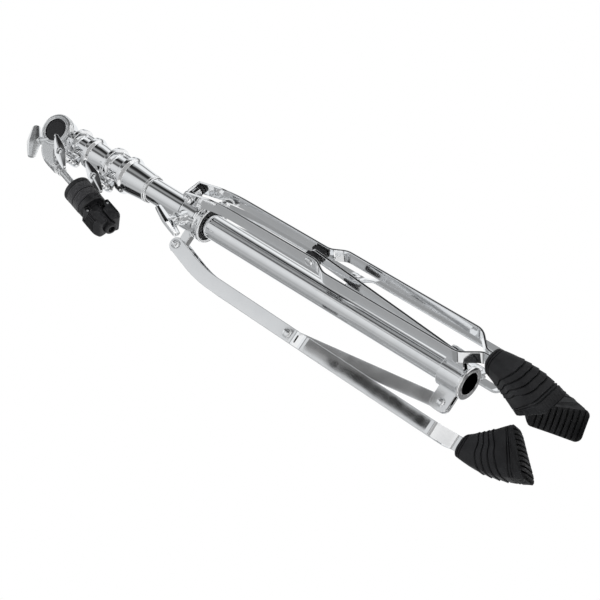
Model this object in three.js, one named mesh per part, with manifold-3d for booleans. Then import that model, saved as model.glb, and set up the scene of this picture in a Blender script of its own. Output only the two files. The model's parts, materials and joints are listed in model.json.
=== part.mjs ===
// Straight cymbal stand, folded for carrying: a three-section column on a tripod of double-strip legs.
// Millimetres, +Z up the column. It stands on its three toes, with the bottom centre of its box at the origin.
// Levels are heights above the lower end of the base tube, and leg A points along -X.
import * as THREE from 'three';
import Module from 'manifold-3d';
import { mergeVertices } from 'three/addons/utils/BufferGeometryUtils.js';

const wasm = await Module();
wasm.setup();

// Fits and finish that many pieces share
const seatGap = 0.3;
const runningGap = 0.25;
const cutOverrun = 2;
const weldDistance = 0.001;
const roundSegments = 36;
const smallSegments = 16;
const rivetSegments = 12;
const domeSteps = 3;
const cornerSegments = 5;
const roundEndSegments = 7;
const degree = Math.PI / 180;
const fullTurn = Math.PI * 2;

// Column tubes
const baseTubeRadius = 14.3;
const middleTubeRadius = 11.1;
const upperTubeRadius = 7.95;
const tubeWall = 1.4;
const baseTubeTop = 500;
const middleTubeBottom = 60;
const middleTubeTop = 560;
const upperTubeBottom = 120;

// Lower brace bracket on the base tube's end
const bracketRadius = 18;
const bracketFlangeRadius = 19.6;
const bracketFlangeHeight = 3.4;
const bracketHeight = 33;
const bracketChamfer = 1.2;
const earGapHalf = 2.2;
const earThickness = 2.4;
const earReach = 41.5;
const earBottom = 4.5;
const earTop = 27;
const earCornerRadius = 8;
const braceFootRadius = 32;
const braceFootLevel = 14;

// Leg collar that slides on the base tube
const collarRadius = 22;
const collarTopRadius = 20.4;
const collarBottom = 376;
const collarTop = 411;
const collarMouthRadius = 20;
const collarMouthDepth = 8;
const collarChamfer = 1.4;
const insertWall = 2.3;
const insertFlangeHeight = 5;
const insertFlangeInset = 1.8;
const lugHalfThickness = 4.4;
const lugHalfHeight = 5.6;
const hingeRadius = 39;
const hingeLevel = 393.5;
const bossRadius = 7.4;
const bossReach = 33;
const bossLevel = 401;
const bossAzimuth = 240 * degree;

// Legs: two strips each, close together above the first jog and wide apart between the jogs
const stripWidth = 16.6;
const stripThickness = 2.6;
const stripChamfer = 0.45;
const stripRoundShares = [1, 0.92, 0.7, 0.4];
const stripTipWidthShare = 0.25;
const narrowHalfGap = 9.2;
const wideHalfGap = 18.6;
const neckHalfGap = 1.2;
const bendRadius = 53.4;
const bendLevel = 345;
const pivotRadius = 56.4;
const pivotLevel = 210;
const upperJogTop = 199;
const upperJogBottom = 182;
const lowerJogRadius = 60.2;
const lowerJogTop = -2;
const lowerJogBottom = -22;
const neckRadius = 58.8;
const neckEndLevel = -54;
const bridgeThickness = 1.8;
const bridgeWidth = 8.4;
const bridgeDistance = 6.8;
const bridgeTilt = 44 * degree;
const stripSlotDrop = 14.5;
const stripSlotHeight = 2.6;
const stripSlotHalfWidth = 4.8;

// Rivets and the pieces they hold
const rivetShankRadius = 3;
const hingeHeadRadius = 4.6;
const hingeHeadHeight = 4.4;
const pivotHeadRadius = 5.4;
const pivotHeadHeight = 2.8;
const earHeadRadius = 5;
const earHeadHeight = 3.2;
const earRivetProud = 0.2;
const hingeBushRadius = 6;
const hingeBushWall = 1;
const spacerBlockLength = 16;
const spacerBlockWidth = 10;
const braceThickness = 3;
const braceWidth = 15;

// Rubber feet
const footRimRadius = 13;
const footRimCornerShare = 0.8;
const footCornerSteps = 3;
const footRimLevel = -32;
const footRimCentre = 58;
const soleInnerRadius = 11.5;
const soleInnerLevel = -70;
const soleOuterRadius = 53.5;
const soleOuterLevel = -116;
const soleHalfWidth = 19;
const soleInnerHalfWidth = 13.5;
const soleCornerRadius = 7;
const footBulge = 2.6;
const footGrooveDepth = 1.1;
const footGrooveShare = 0.012;
const footGrooveShares = [0.07, 0.36, 0.62, 0.9];
const footPocketSlack = 0.4;
const footPocketDepth = 25;

// Height adjusters: sleeve, clamp with two flanges, ears, bolt and wing nut
const lowerSleeveBottom = 467;
const lowerClampBottom = 505;
const lowerClampTop = 534;
const lowerSleeveRadius = 19.05;
const upperSleeveBottom = 534.6;
const upperClampBottom = 564;
const upperClampTop = 592;
const upperSleeveRadius = 15.9;
const lowerFlangeRadius = 22.6;
const upperFlangeRadius = 19.5;
const clampFlangeHeight = 3.6;
const sleeveLipHeight = 2;
const sleeveLipProud = 0.9;
const sleeveLipChamfer = 0.5;
const bushWall = 2;
const clampWall = 2.6;
const clampSlotHalf = 2.4;
const clampEarThickness = 4.2;
const clampEarHeight = 14;
const clampEarRound = 5.5;
const clampBoltRadius = 3;
const lowerBoltDrop = 6.5;
const upperBoltDrop = 5;
const lowerBoltOffset = 24;
const upperBoltOffset = 20;
const clampHeadRadius = 5.4;
const clampHeadHeight = 4;
const saddleHalfWidth = 5;
const saddleProud = 2.6;

// Wing nuts and wing bolts
const wingNutLength = 47;
const wingNutWidth = 13;
const wingNutEndWidth = 9;
const wingNutThickness = 4.6;
const wingNutHubRadius = 6.6;
const wingNutFront = 26;
const spotFaceGap = 0.6;
const lowerWingTilt = 26 * degree;
const upperWingTilt = 37 * degree;
const collarWingLength = 41;
const collarWingHeight = 15;
const collarWingThickness = 6;
const collarWingTilt = -27 * degree;
const collarBoltRadius = 3.4;
const collarBoltNeckRadius = 5;
const collarBoltNeckLength = 6;
const tilterWingLength = 43;
const tilterWingHeight = 17;
const tilterWingThickness = 8;
const tilterWingTurn = 6 * degree;
const wingBevel = 1.3;
const wingEndShare = 0.62;

// Tilter
const hubLevel = 622;
const hubRadius = 18.6;
const hubFront = 2.7;
const hubBack = 12;
const hubCrown = 2;
const hubNeckRadius = 11.4;
const hubNeckClearance = 0.8;
const hubNeckBottom = 593;
const hubPlugLength = 22;
const armRingRadius = 20;
const armRingDepth = 10;
const armTilt = 13.9 * degree;
const barrelOffset = 28;
const barrelRadius = 8;
const barrelTopRadius = 6.6;
const barrelTop = -9;
const barrelBottom = 36.5;
const barrelTaperEnd = -18;
const barrelLevel = -2;
const webTopOnRing = 10;
const webBottomOnRing = -15;
const webBottomOnBarrel = -30;
const tilterBoltLean = -47 * degree;
const tilterBoltX = -7;
const tilterBoltZ = -7.3;
const tilterBossStart = 14;
const tilterBossEnd = 20;
const tilterBoltNeckRadius = 4.6;
const tilterBoltNeckLength = 2.6;
const badgeRadius = 13.2;
const badgeThickness = 2.4;
const badgeRecess = 1.2;
const tilterPinRadius = 3;

// Cymbal rod and what it carries, measured along the rod from the level of the hub's centre
const rodRadius = 4;
const rodTop = 13;
const rodBottom = 138.5;
const rodShoulderRadius = 5.6;
const rodShoulderLength = 3.2;
const rodShoulderDrop = 3.5;
const seatStart = 72.5;
const seatLength = 6.5;
const seatSleeveWall = 1.6;
const stackRadius = 17;
const feltLength = 11.5;
const feltChamfer = 0.8;
const nutTurn = 39 * degree;
const nutFlangeLength = 8;
const nutFlangeRadius = 16.4;
const nutCoreRadius = 7.6;
const nutLength = 46;
const nutPinRadius = 1.8;
const nutPinDrop = 14.5;
const nutPinOffset = 13.4;
const nutWingReach = 5;
const nutWingHalfWidth = 9.2;
const nutWingEnd = 42.5;
const nutWingShoulder = 31;
const nutTongueRadius = 4.6;
const nutTongueHalf = 3;

// Materials
const finishes = {
  chrome: { color: 0xd8dade, roughness: 0.12, metalness: 1 },
  satin: { color: 0xb4b8bb, roughness: 0.42, metalness: 0.9 },
  rubber: { color: 0x1d1d20, roughness: 0.8, metalness: 0 },
  nylon: { color: 0x18181a, roughness: 0.55, metalness: 0 },
  felt: { color: 0x2b2b2c, roughness: 0.95, metalness: 0 },
  badge: { color: 0x0d0d0e, roughness: 0.25, metalness: 0 },
};

const stand = new THREE.Group();

function piece(parent, name, geometry, finish) {
  const mesh = new THREE.Mesh(geometry, new THREE.MeshStandardMaterial(finishes[finish]));
  mesh.name = name;
  parent.add(mesh);
  return mesh;
}

// Joins equal vertices, drops faces of no area and turns the faces outward
function closed(geometry) {
  const bare = geometry.clone();
  bare.deleteAttribute('normal');
  bare.deleteAttribute('uv');
  const merged = mergeVertices(bare, weldDistance);
  const index = merged.index.array;
  const place = merged.attributes.position;
  const faces = [];
  const corners = [new THREE.Vector3(), new THREE.Vector3(), new THREE.Vector3()];
  let volume = 0;
  for (let face = 0; face < index.length; face += 3) {
    const three = [index[face], index[face + 1], index[face + 2]];
    if (new Set(three).size < 3) continue;
    faces.push(three);
    three.forEach((vertex, corner) => corners[corner].fromBufferAttribute(place, vertex));
    volume += corners[0].dot(corners[1].clone().cross(corners[2]));
  }
  const turned = volume < 0 ? faces.map(([a, b, c]) => [a, c, b]) : faces;
  merged.setIndex(turned.flat());
  return merged;
}

function solidOf(geometry) {
  const tidy = closed(geometry);
  return new wasm.Manifold(new wasm.Mesh({
    numProp: 3,
    vertProperties: new Float32Array(tidy.attributes.position.array),
    triVerts: new Uint32Array(tidy.index.array),
  }));
}

function geometryOf(solid) {
  const mesh = solid.getMesh();
  const geometry = new THREE.BufferGeometry();
  geometry.setAttribute('position', new THREE.BufferAttribute(new Float32Array(mesh.vertProperties), 3));
  geometry.setIndex(Array.from(mesh.triVerts));
  return geometry;
}

function joined(geometries) {
  return geometryOf(geometries.map(solidOf).reduce((whole, next) => whole.add(next)));
}

function cut(geometry, tools) {
  return geometryOf(tools.map(solidOf).reduce((whole, tool) => whole.subtract(tool), solidOf(geometry)));
}

function inside(geometry, limit) {
  return geometryOf(solidOf(geometry).intersect(solidOf(limit)));
}

// A round solid about Z from points [radius, height]
function turnedAboutZ(points, segments = roundSegments) {
  const profile = points.map(([radius, height]) => new THREE.Vector2(radius, height));
  return closed(new THREE.LatheGeometry(profile, segments).rotateX(Math.PI / 2));
}

function turnedAboutY(points, segments = smallSegments) {
  const profile = points.map(([radius, height]) => new THREE.Vector2(radius, height));
  return closed(new THREE.LatheGeometry(profile, segments));
}

// A ring about Z with chamfered rims
function ring(innerRadius, outerRadius, bottom, top, chamfer = 0, segments = roundSegments) {
  const points = [[innerRadius, bottom], [outerRadius - chamfer, bottom]];
  if (chamfer > 0) points.push([outerRadius, bottom + chamfer], [outerRadius, top - chamfer]);
  points.push([outerRadius - chamfer, top], [innerRadius, top], [innerRadius, bottom]);
  return turnedAboutZ(points, segments);
}

function bar(radius, bottom, top, segments = smallSegments) {
  return turnedAboutZ([[0, bottom], [radius, bottom], [radius, top], [0, top]], segments);
}

function box(low, high) {
  const size = high.map((value, axis) => value - low[axis]);
  const middle = high.map((value, axis) => (value + low[axis]) / 2);
  return new THREE.BoxGeometry(...size).translate(...middle);
}

// A bar along Y through a point of the XZ plane
function crossBar(radius, x, z, front, back, segments = smallSegments) {
  return turnedAboutY([[0, front], [radius, front], [radius, back], [0, back]], segments).translate(x, 0, z);
}

// A rivet along Y with two domed heads
function rivet(gripHalf, shankRadius, headRadius, headHeight) {
  const dome = [];
  for (let step = 0; step <= domeSteps; step += 1) {
    const angle = (step / domeSteps) * Math.PI / 2;
    dome.push([headRadius * Math.sin(angle), gripHalf + headHeight * Math.cos(angle)]);
  }
  dome[0][0] = 0;
  const upper = [...dome, [shankRadius, gripHalf]];
  const lower = upper.map(([radius, height]) => [radius, -height]);
  return turnedAboutY([...lower, ...upper.reverse()], rivetSegments);
}

// A closed skin over rings of points, with a fan over each end
function loft(rings) {
  const count = rings[0].length;
  const places = rings.flat().flatMap((point) => [point.x, point.y, point.z]);
  const faces = [];
  for (let level = 0; level + 1 < rings.length; level += 1) {
    for (let point = 0; point < count; point += 1) {
      const next = (point + 1) % count;
      const a = level * count + point;
      const b = level * count + next;
      faces.push(a, b, b + count, a, b + count, a + count);
    }
  }
  for (const end of [0, rings.length - 1]) {
    const middle = rings[end].reduce((sum, point) => sum.add(point), new THREE.Vector3());
    middle.divideScalar(count);
    const centre = places.length / 3;
    places.push(middle.x, middle.y, middle.z);
    for (let point = 0; point < count; point += 1) {
      const a = end * count + point;
      const b = end * count + (point + 1) % count;
      faces.push(...(end === 0 ? [centre, b, a] : [centre, a, b]));
    }
  }
  const skin = new THREE.BufferGeometry();
  skin.setAttribute('position', new THREE.BufferAttribute(new Float32Array(places), 3));
  skin.setIndex(faces);
  return closed(skin);
}

// A chamfered flat strip along stations of the XZ plane. A station has x, z, its lower face's y and its half width
function strip(stations, thickness, chamfer) {
  const rings = stations.map((station, number) => {
    const before = stations[Math.max(number - 1, 0)];
    const after = stations[Math.min(number + 1, stations.length - 1)];
    const along = new THREE.Vector3(after.x - before.x, 0, after.z - before.z).normalize();
    const across = new THREE.Vector3(-along.z, 0, along.x);
    const wide = station.halfWidth;
    const slim = station.halfWidth - chamfer;
    const outline = [
      [wide, chamfer], [wide, thickness - chamfer], [slim, thickness], [-slim, thickness],
      [-wide, thickness - chamfer], [-wide, chamfer], [-slim, 0], [slim, 0],
    ];
    return outline.map(([side, height]) => new THREE.Vector3(
      station.x + across.x * side,
      station.y + height,
      station.z + across.z * side,
    ));
  });
  return loft(rings);
}

// Base tube and its brace bracket
const legAzimuths = { a: Math.PI, b: Math.PI * 5 / 3, c: Math.PI / 3 };

function tube(radius, bottom, top) {
  return ring(radius - tubeWall, radius, bottom, top);
}

piece(stand, 'base_tube', tube(baseTubeRadius, 0, baseTubeTop), 'chrome');

function earPlate(side) {
  const outline = new THREE.Shape();
  outline.moveTo(baseTubeRadius + seatGap * 2, earTop);
  outline.lineTo(bracketRadius + earCornerRadius, earTop);
  outline.lineTo(earReach, earTop - earCornerRadius);
  outline.lineTo(earReach, earBottom + earCornerRadius);
  const cornerX = earReach - earCornerRadius;
  outline.absarc(cornerX, earBottom + earCornerRadius, earCornerRadius, 0, -Math.PI / 2, true);
  outline.lineTo(baseTubeRadius + seatGap * 2, earBottom);
  const plate = new THREE.ExtrudeGeometry(outline, {
    depth: earThickness,
    bevelEnabled: false,
    curveSegments: cornerSegments,
  });
  plate.rotateX(Math.PI / 2);
  return plate.translate(0, side > 0 ? earGapHalf + earThickness : -earGapHalf, 0);
}

// Half rivets clinched in the ears, which leave the brace free between them
function earRivets() {
  const outer = earGapHalf + earThickness - earRivetProud;
  const rivets = [];
  for (const azimuth of Object.values(legAzimuths)) {
    for (const side of [1, -1]) {
      const inner = earGapHalf - earRivetProud;
      const profile = [[0, inner], [rivetShankRadius, inner], [rivetShankRadius, outer]];
      for (let step = 0; step < domeSteps; step += 1) {
        const angle = (step / domeSteps) * Math.PI / 2;
        profile.push([earHeadRadius * Math.cos(angle), outer + earHeadHeight * Math.sin(angle)]);
      }
      profile.push([0, outer + earHeadHeight]);
      const rivetHalf = turnedAboutY(profile.map(([radius, height]) => [radius, height * side]), rivetSegments);
      rivets.push(rivetHalf.translate(braceFootRadius, 0, braceFootLevel).rotateZ(azimuth));
    }
  }
  return rivets;
}

function braceBracket() {
  const wall = turnedAboutZ([
    [baseTubeRadius + seatGap, 0],
    [bracketFlangeRadius - bracketChamfer, 0],
    [bracketFlangeRadius, bracketChamfer],
    [bracketFlangeRadius, bracketFlangeHeight],
    [bracketRadius, bracketFlangeHeight + bracketChamfer],
    [bracketRadius, bracketHeight - bracketChamfer],
    [bracketRadius - bracketChamfer, bracketHeight],
    [baseTubeRadius + seatGap, bracketHeight],
    [baseTubeRadius + seatGap, 0],
  ]);
  const parts = [wall, ...earRivets()];
  for (const azimuth of Object.values(legAzimuths)) {
    for (const side of [1, -1]) parts.push(earPlate(side).rotateZ(azimuth));
  }
  return joined(parts);
}

piece(stand, 'lower_brace_bracket', braceBracket(), 'chrome');

// Leg collar, its nylon insert and its wing bolt
const insertInner = baseTubeRadius + runningGap;
const insertOuter = insertInner + insertWall;

function alongRadius(geometry, azimuth, level) {
  return geometry.rotateY(Math.PI / 2).rotateZ(azimuth).translate(0, 0, level);
}

function legCollar() {
  const inner = insertOuter + seatGap;
  const wall = turnedAboutZ([
    [collarMouthRadius, collarBottom],
    [collarRadius - collarChamfer / 2, collarBottom],
    [collarRadius, collarBottom + collarChamfer],
    [collarRadius, hingeLevel - lugHalfHeight],
    [collarTopRadius, hingeLevel + lugHalfHeight],
    [collarTopRadius, collarTop - collarChamfer],
    [collarTopRadius - collarChamfer, collarTop],
    [inner, collarTop],
    [inner, collarBottom + collarMouthDepth],
    [collarMouthRadius, collarBottom + collarMouthDepth],
    [collarMouthRadius, collarBottom],
  ]);
  const parts = [wall];
  const holes = [bar(inner, collarBottom - cutOverrun, collarTop + cutOverrun, roundSegments)];
  for (const azimuth of Object.values(legAzimuths)) {
    const neck = box(
      [inner, -lugHalfThickness, hingeLevel - lugHalfHeight],
      [hingeRadius, lugHalfThickness, hingeLevel + lugHalfHeight],
    );
    const end = crossBar(lugHalfHeight, hingeRadius, hingeLevel, -lugHalfThickness, lugHalfThickness);
    parts.push(neck.rotateZ(azimuth), end.rotateZ(azimuth));
    const reach = lugHalfThickness + cutOverrun;
    const bore = rivetShankRadius + hingeBushWall + seatGap * 2;
    const hole = crossBar(bore, hingeRadius, hingeLevel, -reach, reach);
    holes.push(hole.rotateZ(azimuth));
  }
  parts.push(alongRadius(bar(bossRadius, inner, bossReach), bossAzimuth, bossLevel));
  const boltHole = bar(collarBoltRadius + seatGap, 0, bossReach + cutOverrun);
  holes.push(alongRadius(boltHole, bossAzimuth, bossLevel));
  return cut(joined(parts), holes);
}

piece(stand, 'leg_collar', legCollar(), 'chrome');

const insertFlangeTop = collarBottom + collarMouthDepth - seatGap;
const insertFlangeRadius = collarMouthRadius - insertFlangeInset;
piece(stand, 'leg_collar_insert', turnedAboutZ([
  [insertInner, insertFlangeTop - insertFlangeHeight],
  [insertFlangeRadius, insertFlangeTop - insertFlangeHeight],
  [insertFlangeRadius, insertFlangeTop],
  [insertOuter, insertFlangeTop],
  [insertOuter, collarTop + insertWall],
  [insertInner, collarTop + insertWall],
  [insertInner, insertFlangeTop - insertFlangeHeight],
]), 'nylon');

// A flat wing outline in the XY plane, widest at its middle
function wingOutline(length, middleWidth, endWidth) {
  const outline = new THREE.Shape();
  const half = length / 2 - endWidth / 2;
  outline.moveTo(-half, -endWidth / 2);
  outline.lineTo(0, -middleWidth / 2);
  outline.lineTo(half, -endWidth / 2);
  outline.absarc(half, 0, endWidth / 2, -Math.PI / 2, Math.PI / 2, false);
  outline.lineTo(0, middleWidth / 2);
  outline.lineTo(-half, endWidth / 2);
  outline.absarc(-half, 0, endWidth / 2, Math.PI / 2, Math.PI * 3 / 2, false);
  return outline;
}

function bevelledPlate(outline, thickness, bevel) {
  const plate = new THREE.ExtrudeGeometry(outline, {
    depth: thickness - bevel * 2,
    bevelEnabled: true,
    bevelThickness: bevel,
    bevelSize: bevel,
    bevelOffset: -bevel,
    bevelSegments: 1,
    curveSegments: cornerSegments,
  });
  return plate.translate(0, 0, bevel - thickness / 2);
}

// A T-shaped bolt along Z: stem down, wing at the top, wing height along Z
function wingBolt(stemRadius, stemBottom, neckRadius, neckBottom, neckTop, length, height, thickness) {
  const wing = bevelledPlate(wingOutline(length, height, height * wingEndShare), thickness, wingBevel);
  wing.rotateX(Math.PI / 2).translate(0, 0, neckTop + height / 2 - wingBevel);
  return joined([
    wing,
    bar(neckRadius, neckBottom, neckTop + height / 2),
    bar(stemRadius, stemBottom, neckBottom + wingBevel),
  ]);
}

const collarBoltBottom = insertOuter + seatGap * 2;
const collarBolt = wingBolt(
  collarBoltRadius,
  collarBoltBottom,
  collarBoltNeckRadius,
  bossReach + seatGap,
  bossReach + seatGap + collarBoltNeckLength,
  collarWingLength,
  collarWingHeight,
  collarWingThickness,
);
collarBolt.rotateZ(collarWingTilt);
piece(stand, 'collar_wing_bolt', alongRadius(collarBolt, bossAzimuth, bossLevel), 'chrome');

// Legs
const stripHalf = stripWidth / 2;

function legStations() {
  const hingeRise = Math.hypot(bendRadius - hingeRadius, hingeLevel - bendLevel);
  const outX = (hingeRadius - bendRadius) / hingeRise;
  const outZ = (hingeLevel - bendLevel) / hingeRise;
  const stations = stripRoundShares.map((share) => ({
    x: hingeRadius + outX * stripHalf * share,
    z: hingeLevel + outZ * stripHalf * share,
    y: narrowHalfGap,
    halfWidth: Math.max(stripHalf * Math.sqrt(1 - share * share), stripHalf * stripTipWidthShare),
  }));
  stations.push({ x: hingeRadius, z: hingeLevel, y: narrowHalfGap, halfWidth: stripHalf });
  stations.push({ x: bendRadius, z: bendLevel, y: narrowHalfGap, halfWidth: stripHalf });
  const places = [
    [pivotLevel, narrowHalfGap], [upperJogTop, narrowHalfGap], [upperJogBottom, wideHalfGap],
    [lowerJogTop, wideHalfGap], [lowerJogBottom, neckHalfGap], [neckEndLevel, neckHalfGap],
  ];
  for (const [level, halfGap] of places) {
    stations.push({ x: legRadiusAt(level), z: level, y: halfGap, halfWidth: stripHalf });
  }
  return stations;
}

// The strips' middle line below the bend
function legRadiusAt(level) {
  const line = [
    [neckEndLevel, neckRadius], [lowerJogBottom, neckRadius], [lowerJogTop, lowerJogRadius],
    [pivotLevel, pivotRadius], [bendLevel, bendRadius],
  ];
  for (let step = 0; step + 1 < line.length; step += 1) {
    const [lowLevel, lowRadius] = line[step];
    const [highLevel, highRadius] = line[step + 1];
    if (level <= highLevel) {
      return lowRadius + (highRadius - lowRadius) * (level - lowLevel) / (highLevel - lowLevel);
    }
  }
  return bendRadius;
}

function legPlate(side) {
  const plate = strip(legStations(), stripThickness, stripChamfer);
  const far = wideHalfGap + stripThickness + cutOverrun;
  const slotRadius = legRadiusAt(pivotLevel - stripSlotDrop);
  const holed = cut(plate, [
    box(
      [slotRadius - stripSlotHalfWidth, 0, pivotLevel - stripSlotDrop - stripSlotHeight / 2],
      [slotRadius + stripSlotHalfWidth, far, pivotLevel - stripSlotDrop + stripSlotHeight / 2],
    ),
    crossBar(rivetShankRadius + seatGap, hingeRadius, hingeLevel, 0, far),
    crossBar(rivetShankRadius + seatGap, pivotRadius, pivotLevel, 0, far),
  ]);
  return side > 0 ? holed : closed(holed.scale(1, -1, 1));
}

// The bridge closes the top of the leg between its two plates
function topBridge() {
  const half = narrowHalfGap - seatGap;
  const plate = box([-bridgeWidth / 2, -half, 0], [bridgeWidth / 2, half, bridgeThickness]);
  plate.translate(0, 0, bridgeDistance).rotateY(bridgeTilt);
  return plate.translate(hingeRadius, 0, hingeLevel);
}

// A snap-in nylon bush: a flange each side of the lug and a neck through it
function hingeBush() {
  const inner = lugHalfThickness + seatGap;
  const outer = narrowHalfGap - seatGap;
  const bore = rivetShankRadius + seatGap;
  const neck = bore + hingeBushWall;
  return turnedAboutY([
    [bore, -outer], [hingeBushRadius, -outer], [hingeBushRadius, -inner], [neck, -inner],
    [neck, inner], [hingeBushRadius, inner], [hingeBushRadius, outer], [bore, outer], [bore, -outer],
  ]).translate(hingeRadius, 0, hingeLevel);
}

const braceSlope = Math.atan2(pivotRadius - braceFootRadius, pivotLevel - braceFootLevel);

function spacerBlock(side) {
  const inner = braceThickness / 2 + seatGap;
  const outer = narrowHalfGap - seatGap;
  const far = narrowHalfGap + cutOverrun;
  const block = box(
    [-spacerBlockWidth / 2, Math.min(inner * side, outer * side), -spacerBlockLength / 2],
    [spacerBlockWidth / 2, Math.max(inner * side, outer * side), spacerBlockLength / 2],
  ).translate(pivotRadius, 0, pivotLevel);
  return cut(block, [crossBar(rivetShankRadius + seatGap, pivotRadius, pivotLevel, -far, far)]);
}

function braceStrip() {
  const length = Math.hypot(pivotRadius - braceFootRadius, pivotLevel - braceFootLevel);
  const half = braceWidth / 2;
  const outline = new THREE.Shape();
  outline.absarc(0, length, half, 0, Math.PI, false);
  outline.absarc(0, 0, half, Math.PI, fullTurn, false);
  const bore = new THREE.Path();
  bore.absarc(0, length, rivetShankRadius + seatGap, 0, fullTurn, true);
  outline.holes.push(bore);
  const plate = new THREE.ExtrudeGeometry(outline, {
    depth: braceThickness - stripChamfer * 2,
    bevelEnabled: true,
    bevelThickness: stripChamfer,
    bevelSize: stripChamfer,
    bevelOffset: -stripChamfer,
    bevelSegments: 1,
    curveSegments: roundEndSegments,
  });
  plate.translate(0, 0, stripChamfer - braceThickness / 2).rotateX(Math.PI / 2);
  return plate.rotateY(braceSlope).translate(braceFootRadius, 0, braceFootLevel);
}

// Rubber foot: a round rim on the neck that flares to a slanting sole
function roundedOutline(halfLength, innerHalfWidth, outerHalfWidth, cornerRadius) {
  const corners = [
    [halfLength - cornerRadius, outerHalfWidth - cornerRadius, 0],
    [cornerRadius - halfLength, innerHalfWidth - cornerRadius, 1],
    [cornerRadius - halfLength, cornerRadius - innerHalfWidth, 2],
    [halfLength - cornerRadius, cornerRadius - outerHalfWidth, 3],
  ];
  const points = [];
  for (const [x, y, quarter] of corners) {
    for (let step = 0; step <= footCornerSteps; step += 1) {
      const angle = (quarter + step / footCornerSteps) * Math.PI / 2;
      points.push([x + cornerRadius * Math.cos(angle), y + cornerRadius * Math.sin(angle)]);
    }
  }
  return points;
}

function rubberFoot() {
  const sole = {
    middle: new THREE.Vector3(soleInnerRadius + soleOuterRadius, 0, soleInnerLevel + soleOuterLevel).divideScalar(2),
    halfLength: Math.hypot(soleOuterRadius - soleInnerRadius, soleOuterLevel - soleInnerLevel) / 2,
    angle: Math.atan2(soleOuterLevel - soleInnerLevel, soleOuterRadius - soleInnerRadius),
  };
  const rimMiddle = new THREE.Vector3(footRimCentre, 0, footRimLevel);
  const rimCorner = footRimRadius * footRimCornerShare;
  const rimOutline = roundedOutline(footRimRadius, footRimRadius, footRimRadius, rimCorner);
  const soleOutline = roundedOutline(sole.halfLength, soleInnerHalfWidth, soleHalfWidth, soleCornerRadius);
  const levels = [[0, 0], [1, 0]];
  for (const share of footGrooveShares) {
    levels.push([share - footGrooveShare, 0], [share, 1], [share + footGrooveShare, 0]);
  }
  levels.sort((one, other) => one[0] - other[0]);
  const rings = levels.map(([share, groove]) => {
    const angle = sole.angle * share;
    const along = new THREE.Vector3(Math.cos(angle), 0, Math.sin(angle));
    const middle = rimMiddle.clone().lerp(sole.middle, share);
    middle.x += footBulge * Math.sin(Math.PI * share);
    return rimOutline.map(([rimX, rimY], point) => {
      const [soleX, soleY] = soleOutline[point];
      const x = rimX + (soleX - rimX) * share;
      const y = rimY + (soleY - rimY) * share;
      const size = Math.hypot(x, y);
      const depth = (size - groove * footGrooveDepth) / size;
      return new THREE.Vector3(
        middle.x + along.x * x * depth,
        y * depth,
        middle.z + along.z * x * depth,
      );
    });
  });
  const pocketHalf = neckHalfGap + stripThickness + footPocketSlack;
  const pocket = box(
    [neckRadius - stripHalf - footPocketSlack, -pocketHalf, footRimLevel - footPocketDepth],
    [neckRadius + stripHalf + footPocketSlack, pocketHalf, footRimLevel + footRimRadius],
  );
  return cut(loft(rings), [pocket]);
}

for (const [letter, azimuth] of Object.entries(legAzimuths)) {
  const leg = new THREE.Group();
  leg.rotation.z = azimuth;
  stand.add(leg);
  const prefix = `leg_${letter}`;
  const headSeat = narrowHalfGap + stripThickness + seatGap;
  piece(leg, `${prefix}_left_plate`, legPlate(1), 'chrome');
  piece(leg, `${prefix}_right_plate`, legPlate(-1), 'chrome');
  piece(leg, `${prefix}_top_bridge`, topBridge(), 'chrome');
  piece(leg, `${prefix}_hinge_rivet`, rivet(headSeat, rivetShankRadius, hingeHeadRadius, hingeHeadHeight)
    .translate(hingeRadius, 0, hingeLevel), 'chrome');
  piece(leg, `${prefix}_hinge_bush`, hingeBush(), 'nylon');
  piece(leg, `${prefix}_pivot_rivet`, rivet(headSeat, rivetShankRadius, pivotHeadRadius, pivotHeadHeight)
    .translate(pivotRadius, 0, pivotLevel), 'chrome');
  piece(leg, `${prefix}_left_spacer`, spacerBlock(1), 'nylon');
  piece(leg, `${prefix}_right_spacer`, spacerBlock(-1), 'nylon');
  piece(leg, `${prefix}_brace`, braceStrip(), 'chrome');
  piece(leg, `${prefix}_rubber_foot`, rubberFoot(), 'rubber');
}

// Height adjusters, each one the same casting scaled to its tubes
const adjusters = {
  lower: {
    sleeveBottom: lowerSleeveBottom,
    clampBottom: lowerClampBottom,
    clampTop: lowerClampTop,
    sleeveRadius: lowerSleeveRadius,
    outerTube: baseTubeRadius,
    outerTubeTop: baseTubeTop,
    innerTube: middleTubeRadius,
    flangeRadius: lowerFlangeRadius,
    boltOffset: lowerBoltOffset,
    boltLevel: lowerClampTop - lowerBoltDrop,
    wingTilt: lowerWingTilt,
  },
  upper: {
    sleeveBottom: upperSleeveBottom,
    clampBottom: upperClampBottom,
    clampTop: upperClampTop,
    sleeveRadius: upperSleeveRadius,
    outerTube: middleTubeRadius,
    outerTubeTop: middleTubeTop,
    innerTube: upperTubeRadius,
    flangeRadius: upperFlangeRadius,
    boltOffset: upperBoltOffset,
    boltLevel: upperClampTop - upperBoltDrop,
    wingTilt: upperWingTilt,
  },
};
const clampEarFar = clampSlotHalf + clampEarThickness;
const wingNutBack = clampEarFar + seatGap;

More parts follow.
